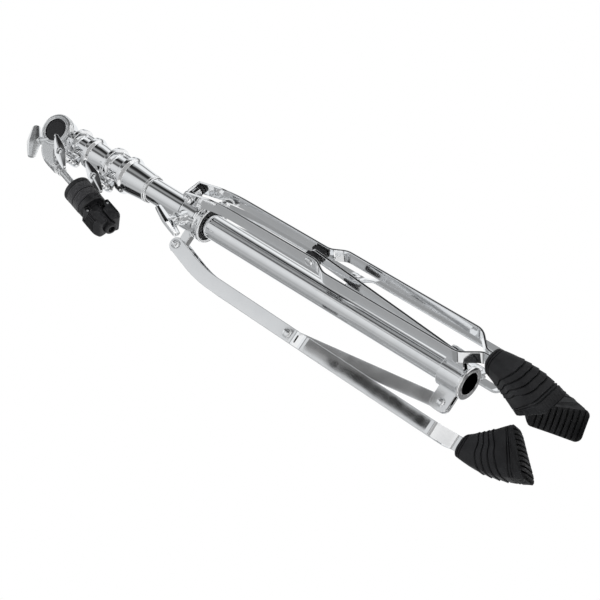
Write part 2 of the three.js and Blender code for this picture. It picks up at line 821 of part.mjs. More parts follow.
function adjusterBody(adjuster) {
  const { sleeveBottom, clampBottom, clampTop, sleeveRadius, flangeRadius, outerTube, outerTubeTop } = adjuster;
  const { boltOffset, boltLevel } = adjuster;
  const boreRadius = adjuster.innerTube + runningGap + bushWall + seatGap;
  const clampRadius = boreRadius + clampWall;
  const flangeHalf = clampFlangeHeight / 2;
  const wall = turnedAboutZ([
    [outerTube + seatGap, sleeveBottom],
    [sleeveRadius, sleeveBottom],
    [sleeveRadius + sleeveLipProud, sleeveBottom + sleeveLipChamfer],
    [sleeveRadius + sleeveLipProud, sleeveBottom + sleeveLipHeight - sleeveLipChamfer],
    [sleeveRadius, sleeveBottom + sleeveLipHeight],
    [sleeveRadius, clampBottom - flangeHalf],
    [flangeRadius, clampBottom],
    [flangeRadius, clampBottom + clampFlangeHeight],
    [clampRadius, clampBottom + clampFlangeHeight],
    [clampRadius, clampTop - clampFlangeHeight - flangeHalf],
    [flangeRadius, clampTop - clampFlangeHeight],
    [flangeRadius, clampTop - wingBevel],
    [flangeRadius - wingBevel, clampTop],
    [boreRadius, clampTop],
    [boreRadius, outerTubeTop + seatGap],
    [outerTube + seatGap, outerTubeTop + seatGap],
    [outerTube + seatGap, sleeveBottom],
  ]);
  const earHalfHeight = clampEarHeight / 2;
  const ears = box(
    [-boltOffset, -clampEarFar, boltLevel - earHalfHeight],
    [-boreRadius, clampEarFar, Math.min(boltLevel + earHalfHeight, clampTop)],
  );
  const earEnd = crossBar(clampEarRound, -boltOffset, boltLevel, -clampEarFar, clampEarFar);
  const saddle = box(
    [boreRadius, -saddleHalfWidth, clampBottom + flangeHalf],
    [clampRadius + saddleProud, saddleHalfWidth, clampTop - flangeHalf],
  );
  const slot = box(
    [-boltOffset - clampEarRound - cutOverrun, -clampSlotHalf, clampBottom + clampFlangeHeight + cutOverrun],
    [-boreRadius + cutOverrun, clampSlotHalf, clampTop + cutOverrun],
  );
  const hole = crossBar(
    clampBoltRadius + seatGap,
    -boltOffset,
    boltLevel,
    -clampEarFar - cutOverrun,
    clampEarFar + cutOverrun,
  );
  const bore = bar(boreRadius, outerTubeTop + seatGap, clampTop + cutOverrun, roundSegments);
  const faceRadius = wingNutHubRadius + spotFaceGap;
  const faceEnd = flangeRadius + cutOverrun;
  const spotFaces = [
    crossBar(faceRadius, -boltOffset, boltLevel, -faceEnd, -clampEarFar),
    crossBar(faceRadius, -boltOffset, boltLevel, clampEarFar, faceEnd),
  ];
  return cut(joined([wall, ears, earEnd, saddle]), [slot, hole, bore, ...spotFaces]);
}

function clampBolt(adjuster) {
  const back = clampEarFar + seatGap;
  const front = wingNutFront + wingNutThickness / 2;
  const bolt = turnedAboutY([
    [0, -front], [clampBoltRadius, -front], [clampBoltRadius, back], [clampHeadRadius, back],
    [clampHeadRadius, back + clampHeadHeight], [0, back + clampHeadHeight],
  ]);
  return bolt.translate(-adjuster.boltOffset, 0, adjuster.boltLevel);
}

// The wing nut turns on the bolt, with its wing in front of the clamp's flanges
function wingNut(adjuster) {
  const outline = wingOutline(wingNutLength, wingNutWidth, wingNutEndWidth);
  const wing = bevelledPlate(outline, wingNutThickness, wingBevel);
  wing.rotateX(Math.PI / 2).translate(0, -wingNutFront - wingNutThickness / 2, 0);
  const hub = crossBar(wingNutHubRadius, 0, 0, -wingNutFront - wingBevel, -wingNutBack);
  const hole = crossBar(clampBoltRadius + seatGap, 0, 0, -wingNutFront - wingNutThickness - cutOverrun, 0);
  const nut = cut(joined([wing, hub]), [hole]).rotateY(Math.PI / 2 + adjuster.wingTilt);
  return nut.translate(-adjuster.boltOffset, 0, adjuster.boltLevel);
}

function adjusterBush(adjuster) {
  const inner = adjuster.innerTube + runningGap;
  return ring(inner, inner + bushWall, adjuster.outerTubeTop + seatGap * 2, adjuster.clampTop - seatGap);
}

for (const [name, adjuster] of Object.entries(adjusters)) {
  piece(stand, `${name}_adjuster_body`, adjusterBody(adjuster), 'chrome');
  piece(stand, `${name}_adjuster_bush`, adjusterBush(adjuster), 'nylon');
  piece(stand, `${name}_adjuster_bolt`, clampBolt(adjuster), 'chrome');
  piece(stand, `${name}_adjuster_wing_nut`, wingNut(adjuster), 'chrome');
}

piece(stand, 'middle_tube', tube(middleTubeRadius, middleTubeBottom, middleTubeTop), 'chrome');
piece(stand, 'upper_tube', tube(upperTubeRadius, upperTubeBottom, hubNeckBottom - seatGap), 'chrome');

// Tilter, drawn about the hub's centre; the arm is drawn hanging straight down and then turned outward
const tilter = new THREE.Group();
tilter.position.z = hubLevel;
stand.add(tilter);
const arm = new THREE.Group();
arm.rotation.y = armTilt;
tilter.add(arm);

// The hub half stands on the upper tube with a plug inside the tube
function tilterHub() {
  const disc = turnedAboutY([
    [0, -hubFront], [hubRadius, -hubFront], [hubRadius, hubBack - hubCrown],
    [hubRadius - hubCrown, hubBack], [0, hubBack],
  ], roundSegments);
  const neckTop = -armRingRadius - hubNeckClearance;
  const neck = turnedAboutZ([
    [0, hubNeckBottom - hubLevel], [hubNeckRadius, hubNeckBottom - hubLevel],
    [hubNeckRadius, neckTop], [0, neckTop],
  ]);
  const riser = inside(
    bar(hubNeckRadius, neckTop - seatGap, 0, roundSegments),
    box([-hubRadius, -hubFront, neckTop - cutOverrun], [hubRadius, hubRadius, cutOverrun]),
  );
  const plugTop = hubNeckBottom - hubLevel;
  const plug = bar(upperTubeRadius - tubeWall - seatGap, plugTop - hubPlugLength, plugTop + seatGap);
  return joined([disc, neck, riser, plug]);
}

piece(tilter, 'tilter_hub', tilterHub(), 'chrome');

const ringBack = -hubFront - seatGap;
const ringFront = ringBack - armRingDepth;
const recessFloor = ringFront + badgeRecess + badgeThickness + seatGap;
const tilterBossRadius = armRingDepth / 2 - seatGap;

// The wing bolt points up and outward from the arm's flank
function besideRing(object) {
  object.position.set(tilterBoltX, (ringFront + ringBack) / 2, tilterBoltZ);
  object.rotation.y = tilterBoltLean;
  object.updateMatrix();
  return object;
}

function tilterArm() {
  const disc = turnedAboutY([
    [0, recessFloor], [badgeRadius + seatGap, recessFloor], [badgeRadius + seatGap, ringFront],
    [armRingRadius - hubCrown, ringFront], [armRingRadius, ringFront + hubCrown], [armRingRadius, ringBack],
    [0, ringBack],
  ], roundSegments);
  const barrel = turnedAboutZ([
    [0, -barrelBottom], [barrelRadius - wingBevel, -barrelBottom], [barrelRadius, wingBevel - barrelBottom],
    [barrelRadius, barrelTaperEnd], [barrelTopRadius, barrelTop], [0, barrelTop],
  ]).translate(-barrelOffset, barrelLevel, 0);
  const webStart = badgeRadius + seatGap * 2;
  const outline = new THREE.Shape();
  outline.moveTo(-webStart, webTopOnRing);
  outline.lineTo(-barrelOffset, barrelTop);
  outline.lineTo(-barrelOffset, webBottomOnBarrel);
  outline.lineTo(-webStart, webBottomOnRing);
  const web = slab(outline, (ringBack - recessFloor) / 2).translate(0, (ringBack + recessFloor) / 2, 0);
  const place = besideRing(new THREE.Object3D()).matrix;
  const boss = bar(tilterBossRadius, tilterBossStart, tilterBossEnd).applyMatrix4(place);
  const boltHole = bar(tilterPinRadius + seatGap, tilterBossStart + seatGap, tilterBossEnd + cutOverrun);
  const bore = bar(rodRadius + seatGap, -barrelBottom - cutOverrun, seatGap - rodTop);
  return cut(joined([disc, barrel, web, boss]), [
    bore.translate(-barrelOffset, barrelLevel, 0),
    boltHole.applyMatrix4(place),
  ]);
}

piece(arm, 'tilter_arm', tilterArm(), 'chrome');
piece(arm, 'badge_disc', crossBar(
  badgeRadius,
  0,
  0,
  ringFront + badgeRecess,
  ringFront + badgeRecess + badgeThickness,
  roundSegments,
), 'badge');

const onRod = new THREE.Group();
onRod.position.set(-barrelOffset, barrelLevel, 0);
arm.add(onRod);

const tilterBolt = wingBolt(
  tilterPinRadius,
  tilterBossStart + seatGap * 2,
  tilterBoltNeckRadius,
  tilterBossEnd + seatGap,
  tilterBossEnd + seatGap + tilterBoltNeckLength,
  tilterWingLength,
  tilterWingHeight,
  tilterWingThickness,
);
const besideArm = besideRing(new THREE.Group());
arm.add(besideArm);
piece(besideArm, 'tilter_wing_bolt', tilterBolt.rotateZ(tilterWingTurn), 'satin');

const shoulderTop = -barrelBottom - seatGap - rodShoulderDrop;
piece(onRod, 'cymbal_rod', turnedAboutZ([
  [0, -rodBottom], [rodRadius - wingBevel, -rodBottom], [rodRadius, wingBevel - rodBottom],
  [rodRadius, shoulderTop - rodShoulderLength], [rodShoulderRadius, shoulderTop - rodShoulderLength],
  [rodShoulderRadius, shoulderTop], [rodRadius, shoulderTop], [rodRadius, -rodTop], [0, -rodTop],
]), 'chrome');

const seatEnd = seatStart + seatLength;
const sleeveEnd = seatEnd + seatGap + feltLength * 2 + seatGap;
const seatBore = rodRadius + seatGap;
const seatSleeveRadius = seatBore + seatSleeveWall;
piece(onRod, 'rod_seat', turnedAboutZ([
  [seatBore, -seatStart], [stackRadius - wingBevel, -seatStart], [stackRadius, -seatStart - wingBevel],
  [stackRadius, wingBevel - seatEnd], [stackRadius - wingBevel, -seatEnd], [seatSleeveRadius, -seatEnd],
  [seatSleeveRadius, -sleeveEnd], [seatBore, -sleeveEnd], [seatBore, -seatStart],
]), 'nylon');

function felt(start) {
  return ring(seatSleeveRadius + seatGap, stackRadius, -start - feltLength, -start, feltChamfer);
}

piece(onRod, 'lower_felt', felt(seatEnd + seatGap), 'felt');
piece(onRod, 'upper_felt', felt(seatEnd + seatGap * 2 + feltLength), 'felt');

// Quick-release nut, drawn from its flange downward and turned about the rod
const nut = new THREE.Group();
nut.position.z = -sleeveEnd - seatGap * 2;
nut.rotation.z = nutTurn;
onRod.add(nut);

function nutWingProfile() {
  const outline = new THREE.Shape();
  outline.absarc(nutPinOffset, -nutPinDrop, nutWingReach, 0, Math.PI, false);
  outline.lineTo(nutPinOffset - nutWingReach, -nutWingEnd);
  outline.lineTo(nutPinOffset, -nutWingEnd);
  outline.lineTo(nutPinOffset + nutWingReach, -nutWingShoulder);
  return outline;
}

// A flat outline of the XZ plane made solid to both sides of it
function slab(outline, halfDepth) {
  const plate = new THREE.ExtrudeGeometry(outline, {
    depth: halfDepth * 2,
    bevelEnabled: false,
    curveSegments: cornerSegments,
  });
  return plate.rotateX(Math.PI / 2).translate(0, halfDepth, 0);
}

function nutBody() {
  const core = turnedAboutZ([
    [0, 0], [nutFlangeRadius, 0], [nutFlangeRadius, wingBevel - nutFlangeLength],
    [nutFlangeRadius - wingBevel, -nutFlangeLength], [nutCoreRadius, -nutFlangeLength],
    [nutCoreRadius, wingBevel - nutLength], [nutCoreRadius - wingBevel, -nutLength], [0, -nutLength],
  ]);
  const parts = [core];
  const tools = [bar(rodRadius + seatGap, -nutLength - cutOverrun, cutOverrun)];
  for (const side of [1, -1]) {
    const outline = new THREE.Shape();
    outline.absarc(nutPinOffset, -nutPinDrop, nutTongueRadius, -Math.PI / 2, Math.PI / 2, false);
    outline.lineTo(nutCoreRadius - wingBevel, nutTongueRadius - nutPinDrop);
    outline.lineTo(nutCoreRadius - wingBevel, -nutTongueRadius - nutPinDrop);
    parts.push(slab(outline, nutTongueHalf).rotateZ(side > 0 ? 0 : Math.PI));
    const far = nutWingHalfWidth + cutOverrun;
    tools.push(crossBar(nutPinRadius + seatGap, nutPinOffset * side, -nutPinDrop, -far, far));
  }
  return cut(joined(parts), tools);
}

function nutWing(side) {
  const wing = slab(nutWingProfile(), nutWingHalfWidth);
  const far = nutWingHalfWidth + cutOverrun;
  const slotHalf = nutTongueHalf + seatGap;
  const slotReach = nutTongueRadius + seatGap * 2;
  const slot = box(
    [0, -slotHalf, -nutPinDrop - slotReach],
    [nutPinOffset + nutWingReach + cutOverrun, slotHalf, cutOverrun],
  );
  const hole = crossBar(nutPinRadius + seatGap, nutPinOffset, -nutPinDrop, -far, far);
  const trim = bar(nutCoreRadius + seatGap * 2, -nutLength - cutOverrun, cutOverrun, roundSegments);
  return cut(wing, [slot, hole, trim]).rotateZ(side > 0 ? 0 : Math.PI);
}

piece(nut, 'nut_body', nutBody(), 'nylon');
piece(nut, 'nut_wing_outer', nutWing(-1), 'nylon');
piece(nut, 'nut_wing_inner', nutWing(1), 'nylon');
for (const [name, side] of Object.entries({ outer: -1, inner: 1 })) {
  const reach = nutWingHalfWidth + seatGap;
  const pin = crossBar(nutPinRadius, nutPinOffset * side, -nutPinDrop, -reach, reach);
  piece(nut, `nut_pin_${name}`, pin, 'satin');
}

// The bottom centre of the whole stand's box becomes the origin
stand.updateMatrixWorld(true);
const bounds = new THREE.Box3().setFromObject(stand, true);
const whole = new THREE.Group();
whole.add(stand);
stand.position.set(-(bounds.min.x + bounds.max.x) / 2, -(bounds.min.y + bounds.max.y) / 2, -bounds.min.z);

export default whole;
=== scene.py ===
import json
import math

import bmesh
import bpy
from mathutils import Matrix, Vector, noise


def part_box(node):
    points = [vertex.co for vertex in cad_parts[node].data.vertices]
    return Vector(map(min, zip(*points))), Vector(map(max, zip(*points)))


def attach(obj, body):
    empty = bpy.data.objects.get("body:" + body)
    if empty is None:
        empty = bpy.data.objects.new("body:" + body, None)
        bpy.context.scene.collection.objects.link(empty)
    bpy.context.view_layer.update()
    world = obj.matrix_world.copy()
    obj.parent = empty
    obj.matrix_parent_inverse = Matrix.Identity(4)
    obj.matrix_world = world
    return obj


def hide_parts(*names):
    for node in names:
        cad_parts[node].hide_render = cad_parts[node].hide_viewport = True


# Straight cymbal stand, folded. Shapes are written in millimetres above the lower end of the base tube
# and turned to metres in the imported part's frame.
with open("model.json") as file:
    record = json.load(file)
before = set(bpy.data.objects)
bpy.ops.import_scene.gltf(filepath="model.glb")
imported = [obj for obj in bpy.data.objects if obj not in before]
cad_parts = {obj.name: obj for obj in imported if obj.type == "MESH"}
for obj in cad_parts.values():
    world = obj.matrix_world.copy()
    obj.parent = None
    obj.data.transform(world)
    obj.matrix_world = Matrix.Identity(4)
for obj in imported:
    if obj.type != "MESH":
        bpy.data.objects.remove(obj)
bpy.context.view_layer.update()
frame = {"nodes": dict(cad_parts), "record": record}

record = frame["record"]
slot_of_node = {row["node"]: row["material_slot"] for row in record["subparts"]}
body_of_node = {node: body for body, nodes in record["behaviour"]["bodies"].items() for node in nodes}
tube_low, tube_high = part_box("base_tube")
MM = 0.001
STAND = Matrix.Translation(((tube_low.x + tube_high.x) / 2, 0, tube_low.z)) @ Matrix.Scale(MM, 4)
LEG_AZIMUTHS = {"a": math.pi, "b": math.pi * 5 / 3, "c": math.pi / 3}
SEGMENTS = 80
# Edges that turn by more degrees than this stay sharp
CREASE = 32
FELT_CREASE = 80

# Sizes that several pieces share
BASE_RADIUS, MIDDLE_RADIUS, UPPER_RADIUS = 14.3, 11.1, 7.95
BASE_TOP, MIDDLE_TOP, UPPER_TOP = 500, 560, 592.7
RIVET_RADIUS, RIVET_HOLE = 3, 3.3
ROD_RADIUS, ROD_HOLE = 4, 4.3


def turn(angle, axis):
    return Matrix.Rotation(angle, 4, axis)


def shift(x, y, z):
    return Matrix.Translation((x, y, z))


# Shapes are pairs of points and faces
def soften(points, closed=True, steps=3):
    """Rounds the corners of a polyline whose points carry a fillet length as their last number."""
    places = [Vector(point[:-1]) for point in points]
    count = len(points)
    result = []
    for number, point in enumerate(points):
        here, fillet = places[number], point[-1]
        ends = not closed and number in (0, count - 1)
        if fillet <= 0 or ends:
            result.append(here)
            continue
        before, after = places[number - 1] - here, places[(number + 1) % count] - here
        reach = min(fillet, before.length * 0.48, after.length * 0.48)
        start, end = here + before.normalized() * reach, here + after.normalized() * reach
        for step in range(steps + 1):
            share = step / steps
            result.append(start * (1 - share) ** 2 + here * 2 * share * (1 - share) + end * share ** 2)
    return result


def turned(profile, segments=SEGMENTS, steps=3):
    """A round solid about Z. A profile that starts and ends on the axis is solid, any other is a ring."""
    solid = profile[0][0] == 0 and profile[-1][0] == 0
    outline = soften(profile, closed=not solid, steps=steps)
    points, rows = [], []
    for place in outline:
        if place.x < 1e-6:
            rows.append([len(points)])
            points.append(Vector((0, 0, place.y)))
            continue
        rows.append(list(range(len(points), len(points) + segments)))
        for number in range(segments):
            angle = number / segments * math.tau
            points.append(Vector((place.x * math.cos(angle), place.x * math.sin(angle), place.y)))
    faces = []
    pairs = list(zip(rows, rows[1:] if solid else rows[1:] + rows[:1]))
    for lower, upper in pairs:
        for number in range(segments):
            after = (number + 1) % segments
            if len(lower) == 1 and len(upper) == 1:
                break
            if len(lower) == 1:
                faces.append((lower[0], upper[after], upper[number]))
            elif len(upper) == 1:
                faces.append((lower[number], lower[after], upper[0]))
            else:
                faces.append((lower[number], lower[after], upper[after], upper[number]))
    return points, faces


def cylinder(radius, low, high, segments):
    """A plain round solid about Z."""
    return turned([(0, low, 0), (radius, low, 0), (radius, high, 0), (0, high, 0)], segments)


def skin(rings):
    """A closed skin over rings of points, with one face over each end."""
    count = len(rings[0])
    points = [point for ring in rings for point in ring]
    faces = []
    for level in range(len(rings) - 1):
        for number in range(count):
            after = (number + 1) % count
            a, b = level * count + number, level * count + after
            faces.append((a, b, b + count, a + count))
    faces.append(tuple(reversed(range(count))))
    faces.append(tuple(range(len(points) - count, len(points))))
    return points, faces


def inset(outline, distance):
    """The outline moved inward, for an outline that runs anticlockwise."""
    count = len(outline)
    moved = []
    for number, point in enumerate(outline):
        before = (point - outline[number - 1]).normalized()
        after = (outline[(number + 1) % count] - point).normalized()
        normal = Vector((-before.y - after.y, before.x + after.x))
        size = max(normal.length_squared / 2, 0.3)
        moved.append(point + normal * (distance / size))
    return moved


def plate(outline, low, high, edge=0.5, steps=3):
    """An outline of the XY plane made solid from low to high, with rounded edges."""
    shape = [Vector(point) for point in outline]
    rings = []
    for face, side in ((low, 1), (high, -1)):
        for step in range(steps + 1)[::side]:
            angle = step / steps * math.pi / 2
            level = face + side * edge * (1 - math.cos(angle))
            ring = inset(shape, edge * (1 - math.sin(angle)))
            rings.append([Vector((p.x, p.y, level)) for p in ring])
    return skin(rings)


def block(low, high, edge=0.5, corner=None):
    """A box with rounded edges between two corners."""
    round_corner = max(corner or 0, edge * 1.3)
    outline = soften([
        (low[0], low[1], round_corner), (high[0], low[1], round_corner),
        (high[0], high[1], round_corner), (low[0], high[1], round_corner),
    ])
    return plate(outline, low[2], high[2], edge)


def arc(x, y, radius, start, end, steps=12):
    """Points of an arc, in degrees."""
    angles = [math.radians(start + (end - start) * step / steps) for step in range(steps + 1)]
    return [(x + radius * math.cos(angle), y + radius * math.sin(angle)) for angle in angles]


def moved(shape, matrix):
    points, faces = shape
    turned_over = matrix.determinant() < 0
    kept = [tuple(reversed(face)) for face in faces] if turned_over else faces
    return [matrix @ point for point in points], kept


ALONG_Y = turn(-math.pi / 2, "X")
ALONG_X = turn(math.pi / 2, "Y")
UPRIGHT = turn(math.pi / 2, "X")


def mirrored(side):
    """Nothing for side 1, a mirror in the plane Y = 0 for side -1."""
    return Matrix.Scale(side, 4, (0, 1, 0))


def facing_out(shape):
    """The same closed shape with its faces looking outward."""
    points, faces = shape
    volume = 0
    for face in faces:
        for second, third in zip(face[1:], face[2:]):
            volume += points[face[0]].dot(points[second].cross(points[third]))
    return shape if volume > 0 else (points, [tuple(reversed(face)) for face in faces])


def mesh_of(name, shape):
    points, faces = facing_out(shape)
    mesh = bpy.data.meshes.new(name)
    mesh.from_pydata([tuple(point) for point in points], [], [tuple(face) for face in faces])
    mesh.validate()
    mesh.update()
    return mesh


def in_scene(name, data):
    """A new object with this mesh, lamp or camera."""
    thing = bpy.data.objects.new(name, data)
    bpy.context.scene.collection.objects.link(thing)
    return thing


def combine(first, others, operation="UNION"):
    """Adds the others to the first solid, or cuts them from it."""
    target = in_scene("work", mesh_of("work", first))
    tools = [in_scene("work", mesh_of("work", other)) for other in others]
    for tool in tools:
        step = target.modifiers.new("combine", "BOOLEAN")
        step.operation = operation
        step.solver = "EXACT"
        step.object = tool
    graph = bpy.context.evaluated_depsgraph_get()
    mesh = bpy.data.meshes.new_from_object(target.evaluated_get(graph))
    points = [vertex.co.copy() for vertex in mesh.vertices]
    faces = [tuple(polygon.vertices) for polygon in mesh.polygons]
    for thing in [target, *tools]:
        data = thing.data
        bpy.data.objects.remove(thing)
        bpy.data.meshes.remove(data)
    bpy.data.meshes.remove(mesh)
    return points, faces


# Materials
def new_material(name):
    material = bpy.data.materials.new(name)
    material.use_nodes = True
    tree = material.node_tree
    shader = tree.nodes["Principled BSDF"]
    return material, tree, shader


def add(tree, kind, **inputs):
    node = tree.nodes.new(kind)
    for key, value in inputs.items():
        node.inputs[key].default_value = value
    return node


def worked(tree, operation, first, second):
    """The result of a sum on two sockets."""
    node = tree.nodes.new("ShaderNodeMath")
    node.operation = operation
    tree.links.new(first, node.inputs[0])
    tree.links.new(second, node.inputs[1])
    return node.outputs[0]


def object_noise(tree, scale, detail, roughness, distortion=0.0):
    """Noise in the piece's own space, with its scale in waves to the metre."""
    place = tree.nodes.new("ShaderNodeTexCoord")
    spots = add(
        tree, "ShaderNodeTexNoise", Scale=scale, Detail=detail, Roughness=roughness, Distortion=distortion,
    )
    tree.links.new(place.outputs["Object"], spots.inputs["Vector"])
    return spots.outputs["Fac"]


def ranged(tree, source, low, high, start=0.3, end=0.7):
    """Low to high as the source goes from start to end. Most of a noise lies between 0.3 and 0.7."""
    ends = {"From Min": start, "From Max": end, "To Min": low, "To Max": high}
    spread = add(tree, "ShaderNodeMapRange", **ends)
    tree.links.new(source, spread.inputs["Value"])
    return spread.outputs["Result"]


def blended(tree, factor, low, high):
    """A colour between low and high."""
    mix = tree.nodes.new("ShaderNodeMix")
    mix.data_type = "RGBA"
    mix.inputs[6].default_value = (*low, 1)
    mix.inputs[7].default_value = (*high, 1)
    tree.links.new(factor, mix.inputs[0])
    return mix.outputs[2]


def tinted(tree, shader, source, low, high, start=0.3, end=0.7):
    tint = blended(tree, ranged(tree, source, 0, 1, start, end), low, high)
    tree.links.new(tint, shader.inputs["Base Color"])


def roughened(tree, shader, source, low, high):
    tree.links.new(ranged(tree, source, low, high), shader.inputs["Roughness"])


def bumped(tree, shader, height, strength, distance):
    bump = add(tree, "ShaderNodeBump", Strength=strength, Distance=distance)
    tree.links.new(height, bump.inputs["Height"])
    tree.links.new(bump.outputs["Normal"], shader.inputs["Normal"])


def chrome_material():
    """Bright plating with faint smears and the long, slow waves of polished steel."""
    material, tree, shader = new_material("chrome_plate")
    shader.inputs["Metallic"].default_value = 1
    smears = object_noise(tree, 55, 6, 0.6)
    tinted(tree, shader, smears, (0.84, 0.85, 0.86), (0.9, 0.905, 0.91))
    roughened(tree, shader, smears, 0.035, 0.085)
    waves = object_noise(tree, 28, 1, 0.4)
    bumped(tree, shader, waves, 0.35, 0.00022)
    return material


def satin_material():
    """Zinc-plated casting with a fine blasted grain."""
    material, tree, shader = new_material("satin_plate")
    shader.inputs["Metallic"].default_value = 1
    grain = object_noise(tree, 2400, 3, 0.6)
    cloud = object_noise(tree, 90, 4, 0.6)
    tinted(tree, shader, cloud, (0.74, 0.75, 0.755), (0.84, 0.85, 0.855))
    roughened(tree, shader, cloud, 0.22, 0.31)
    bumped(tree, shader, grain, 0.06, 0.00003)
    return material


def nylon_material():
    """Black moulded nylon with a spark-eroded grain and paler rubbed spots."""
    material, tree, shader = new_material("moulded_nylon")
    grain = object_noise(tree, 1500, 4, 0.65)
    cloud = object_noise(tree, 140, 4, 0.6)
    tinted(tree, shader, cloud, (0.006, 0.006, 0.007), (0.016, 0.016, 0.018))
    roughened(tree, shader, cloud, 0.34, 0.5)
    bumped(tree, shader, grain, 0.4, 0.0001)
    return material


def rubber_material():
    """Dull black rubber with a faint grey bloom."""
    material, tree, shader = new_material("moulded_rubber")
    shader.inputs["Specular IOR Level"].default_value = 0.3
    grain = object_noise(tree, 1100, 5, 0.7)
    bloom = object_noise(tree, 45, 5, 0.6)
    tinted(tree, shader, bloom, (0.006, 0.006, 0.007), (0.015, 0.0155, 0.017))
    roughened(tree, shader, bloom, 0.5, 0.68)
    bumped(tree, shader, grain, 0.5, 0.00014)
    return material


def felt_material():
    """Dark wool felt with short fibres in all directions and lighter flecks."""
    material, tree, shader = new_material("wool_felt")
    shader.inputs["Sheen Weight"].default_value = 0.35
    shader.inputs["Sheen Roughness"].default_value = 0.5
    shader.inputs["Specular IOR Level"].default_value = 0.15
    fibres = object_noise(tree, 1700, 8, 0.75, 2.5)
    clumps = object_noise(tree, 260, 5, 0.65)
    tinted(tree, shader, fibres, (0.008, 0.008, 0.01), (0.034, 0.034, 0.038), 0.35, 0.75)
    roughened(tree, shader, clumps, 0.86, 1)
    bumped(tree, shader, fibres, 0.9, 0.0006)
    return material


def badge_material():
    """Gloss black disc under a clear coat with hair-fine wipe marks."""
    material, tree, shader = new_material("gloss_black")
    shader.inputs["Coat Weight"].default_value = 0.2
    shader.inputs["Coat Roughness"].default_value = 0.06
    shader.inputs["Specular IOR Level"].default_value = 0.2
    wipes = object_noise(tree, 420, 5, 0.7)
    tinted(tree, shader, wipes, (0.008, 0.008, 0.009), (0.016, 0.016, 0.017))
    roughened(tree, shader, wipes, 0.16, 0.26)
    bumped(tree, shader, wipes, 0.08, 0.00005)
    return material


finishes = {
    "chrome": chrome_material(),
    "satin_metal": satin_material(),
    "black_nylon": nylon_material(),
    "black_rubber": rubber_material(),
    "black_felt": felt_material(),
    "badge_black": badge_material(),
}
for node, thing in frame["nodes"].items():
    thing.data.materials.clear()
    thing.data.materials.append(finishes[slot_of_node[node]])


def dress(name, shape, node, matrix=STAND, crease=CREASE, slot=None):
    """Makes a piece from a shape and lets it ride where its CAD node rides."""
    mesh = mesh_of(name, moved(shape, matrix))
    mesh.shade_smooth()
    mesh.set_sharp_from_angle(angle=math.radians(crease))
    thing = in_scene(name, mesh)
    finish_slot = slot or slot_of_node[node]
    mesh.materials.append(finishes[finish_slot])
    weigh = thing.modifiers.new("even_normals", "WEIGHTED_NORMAL")
    weigh.keep_sharp = True
    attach(thing, body_of_node[node])
    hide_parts(node)


# Column tubes
TUBE_WALL = 1.4
MIDDLE_BOTTOM, UPPER_BOTTOM = 60, 120


def tube(radius, bottom, top):
    inner = radius - TUBE_WALL
    return turned([
        (inner, bottom, 0.4), (radius, bottom, 0.5), (radius, top, 0.5), (inner, top, 0.4),
    ], 96)


dress("base_tube_chromed", tube(BASE_RADIUS, 0, BASE_TOP), "base_tube")
dress("middle_tube_chromed", tube(MIDDLE_RADIUS, MIDDLE_BOTTOM, MIDDLE_TOP), "middle_tube")
dress("upper_tube_chromed", tube(UPPER_RADIUS, UPPER_BOTTOM, UPPER_TOP), "upper_tube")


# Lower brace bracket: band, ears and clinched rivets
BRACE_FOOT_RADIUS, BRACE_FOOT_LEVEL = 32, 14


def domed(radius, height, base, rim, steps):
    """Profile points of a rivet head from the level of its rim to its crown."""
    points = []
    for step in range(1, steps):
        angle = step / steps * math.pi / 2
        points.append((radius * math.cos(angle), base + rim + (height - rim) * math.sin(angle), 0))
    return [*points, (0, base + height, 0)]


def dome(radius, height, base, foot):
    """A rivet head about Z whose foot reaches below the level base."""
    rim = 0.3
    start = [(0, base - foot, 0), (radius - 0.2, base - foot, 0.1), (radius, base + rim, 0.2)]
    return turned([*start, *domed(radius, height, base, rim, 7)], 32)


def bracket():
    band = turned([
        (14.6, 0, 0.3), (18.6, 0, 0.8), (19.6, 1.2, 0.8), (19.6, 3.2, 0.8), (18, 4.6, 0.8),
        (18, 31.6, 0.6), (16.8, 33, 0.6), (14.6, 33, 0.3),
    ], 96)
    outline = soften([
        (15.6, 4.5, 0), (41.5, 4.5, 9), (41.5, 27, 11), (24, 27, 5), (15.6, 27, 0),
    ], steps=8)
    parts = []
    at_foot = shift(BRACE_FOOT_RADIUS, 0, BRACE_FOOT_LEVEL) @ ALONG_Y
    for azimuth in LEG_AZIMUTHS.values():
        for side in (1, -1):
            ear = moved(plate(outline, 2.2, 4.6, 0.4), UPRIGHT)
            head = moved(dome(5, 3.2, 4.4, 1), at_foot)
            stub = moved(turned([
                (0, 2, 0), (RIVET_RADIUS, 2, 0.2), (RIVET_RADIUS, 4.5, 0), (0, 4.5, 0),
            ], 32), at_foot)
            outward = turn(azimuth, "Z")
            parts.append(moved(ear, outward @ mirrored(-side)))
            parts.append(moved(head, outward @ mirrored(side)))
            parts.append(moved(stub, outward @ mirrored(side)))
    return combine(band, parts)


dress("lower_brace_bracket_pressed", bracket(), "lower_brace_bracket")


# Leg collar with its lugs and boss
HINGE_RADIUS, HINGE_LEVEL = 39, 393.5
IN_BOSS = shift(0, 0, 401) @ turn(math.radians(240), "Z") @ ALONG_X


